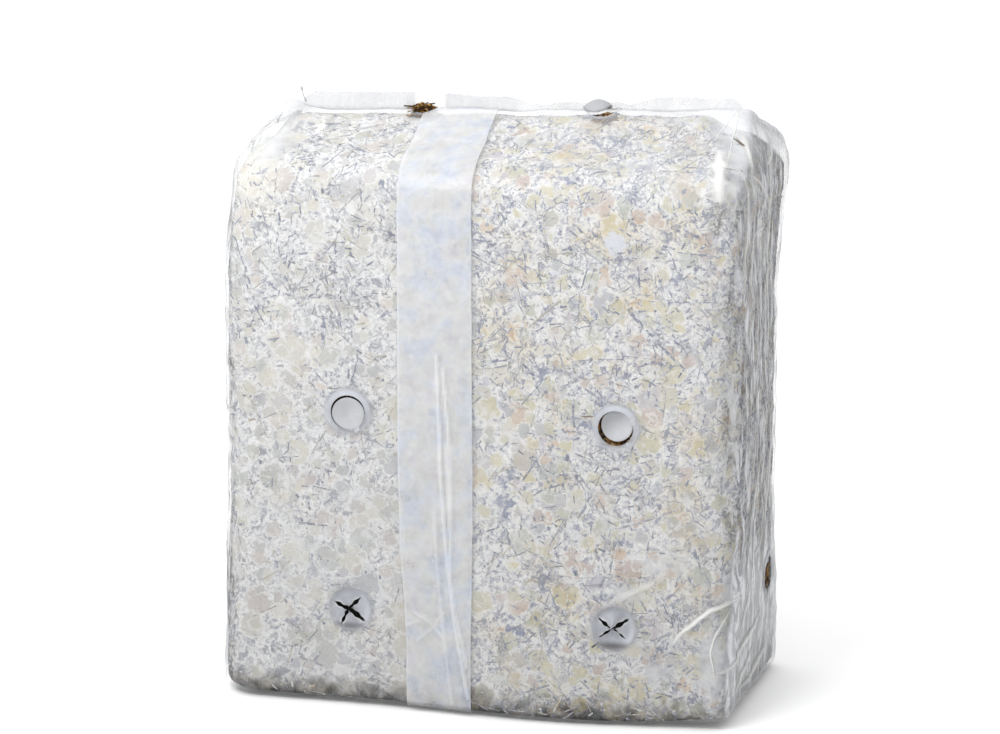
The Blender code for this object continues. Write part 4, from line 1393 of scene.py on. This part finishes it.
milk = np.maximum(milk, 0.65 * (1.0 - smooth_step(0.0008, 0.0022, edge)))
rows[..., 1] -= rise.reshape(rows.shape[:2])
seam = sheet("lap_seam", rows)
store(seam, "milk", milk.ravel())
print("seam squares taken out at the roof hole", open_up(seam, roof_seats["roof_left"], 0.0125))
thicken(seam, FILM)
lap_film = film_surface("lapped_polyethylene_film", 0.08, 0.90, "e9ebf0", veil=0.8)
finish_piece(seam, lap_film)

# %% [markdown]
# ## Welded fin
#
# The top of the tube was welded flat and stands up as a thin wavy fin. Its height is not even:
# it dips almost to nothing just right of the middle. The weld pressed fine upright ribs into
# it, its foot and its cut edge are milkier than the rest, and it is clear behind the left hole.

# %% The fin's sheet
FIN_TOP = (                                # place along the fin and height, in mm
    (-160.5, 456.0), (-158.4, 460.7), (-149.5, 465.9), (-130.3, 466.3), (-106.3, 467.4), (-82.4, 468.1),
    (-58.6, 469.6), (-42.8, 469.1), (-19.0, 467.8), (2.3, 468.4), (9.3, 466.7), (16.4, 464.7),
    (20.4, 463.0), (36.1, 463.7), (43.1, 465.9), (52.5, 466.8), (61.9, 466.0), (70.0, 467.0),
    (87.7, 468.3), (99.4, 466.5), (104.1, 467.9), (113.4, 470.3), (118.9, 472.5), (130.5, 473.5),
    (149.1, 474.3), (156.1, 473.4), (180.0, 474.6), (183.9, 471.5), (186.5, 468.6),
)
FIN_HAZE = (  # place along the fin in mm, share of its milkiness: clear at the left hole
    (-160.0, 1.0), (-70.8, 1.0), (-69.8, 0.05), (-46.8, 0.05), (-45.8, 1.15),
    (8.0, 0.95), (24.0, 0.72), (150.0, 0.70), (187.0, 0.80),
)
FIN_FOOT, FIN_BEAD = 0.12, 0.93            # up to and from these shares of its height
FIN_SUNK, FIN_LEAST = 0.0012, 0.002        # its foot is sunk in the skin, its least height
FIN_LEFT, FIN_RIGHT, FIN_STEP = -0.1605, 0.1866, 0.0009


def along_line(along, size, shift):
    """Soft noise along a line."""
    return lumps(np.stack([along, 0.0 * along, 0.0 * along], 1), size, shift)


along = np.arange(FIN_LEFT, FIN_RIGHT, FIN_STEP)
top = np.interp(along / MM, *zip(*FIN_TOP)) * MM + 0.00025 * along_line(along, 0.004, 7.0)
down = Vector((0.0, 0.0, -1.0))
foot = np.array([skin_tree.ray_cast(Vector((x, RIDGE_Y, 0.50)), down, 0.2)[0].z for x in along]) - FIN_SUNK
sway = 0.0022 * along_line(along, 0.030, 2.0) + 0.0009 * along_line(along, 0.011, 9.0)
rib = 0.00022 * np.sin(along / 0.0011) * (0.5 + along_line(along, 0.02, 4.0))
shares = np.linspace(0.0, 1.0, 11)
rows = np.zeros((len(shares), len(along), 3))
for i, share in enumerate(shares):
    rows[i, :, 0] = along
    rows[i, :, 1] = RIDGE_Y + sway * share ** 1.2 + rib * math.sin(math.pi * min(share * 1.3, 1.0))
    rows[i, :, 2] = foot + (np.maximum(top, foot + FIN_LEAST) - foot) * share
fin = sheet("weld_fin", rows)
cloudy = np.where(shares > FIN_BEAD, 0.8, np.where(shares < FIN_FOOT, 0.9, 0.45))
store(fin, "milk", (cloudy[:, None] * np.interp(along / MM, *zip(*FIN_HAZE))).ravel())
thicken(fin, FILM, 0.0)
fin_film = film_surface("welded_polyethylene_film", 0.05, 0.85, "dfe0e3")
finish_piece(fin, fin_film)

# %% [markdown]
# ## A stalk and a torn corner
#
# One bit of stalk lies under the film at the top right corner, and the weld's left end has a
# torn thread of film standing up with a small curl at its tip.

# %% Stalk and thread
def strand(name, points, radii):
    """A thin round thread through a few points."""
    points, radii = np.array(points) * MM, np.array(radii) * MM
    steps = np.linspace(0.0, len(points) - 1.0, 24)
    track = [np.interp(steps, range(len(points)), points[:, i]) for i in range(3)]
    track = eased(np.stack(track, axis=1), 6)
    thick = np.interp(steps, range(len(radii)), radii)
    ahead = unit(np.gradient(track, axis=0))
    beside = unit(np.cross(ahead, [0.0, 1.0, 0.05]))
    above = np.cross(ahead, beside)
    angles = np.linspace(0.0, TURN, 9)
    ring = np.cos(angles)[:, None] * beside[:, None] + np.sin(angles)[:, None] * above[:, None]
    piece = sheet(name, track[:, None] + ring * thick[:, None, None])
    store(piece, "milk", np.ones(len(steps) * len(angles)))
    close_seam(piece)
    edit_all(piece, (bpy.ops.mesh.fill_holes, {"sides": 12}), FACE_OUTWARD)
    return piece


STALK = ((186.2, -33.0, 451.6), (189.5, -34.0, 450.0), (194.8, -35.0, 446.6))
THREAD = (
    (-157.5, 3.5, 457.5), (-159.4, 3.2, 461.5), (-160.3, 3.0, 465.5), (-160.9, 3.2, 467.6),
    (-161.3, 3.4, 469.6),
)
stalk = strand("stalk", STALK, (0.4, 0.8, 0.6))
# a dry stalk is dull, because its skin has shrunk into fine ribs
dry_stalk, _, _ = new_surface("dry_stalk", {"Base Color": linear("6f6558"), "Roughness": 0.8})
finish_piece(stalk, dry_stalk)
thread = strand("torn_thread", THREAD, (0.7, 0.4, 0.3, 1.0, 0.4))
torn_film = film_surface("torn_polyethylene_film", 0.6, 0.7, "c4c6c9")
finish_piece(thread, torn_film)
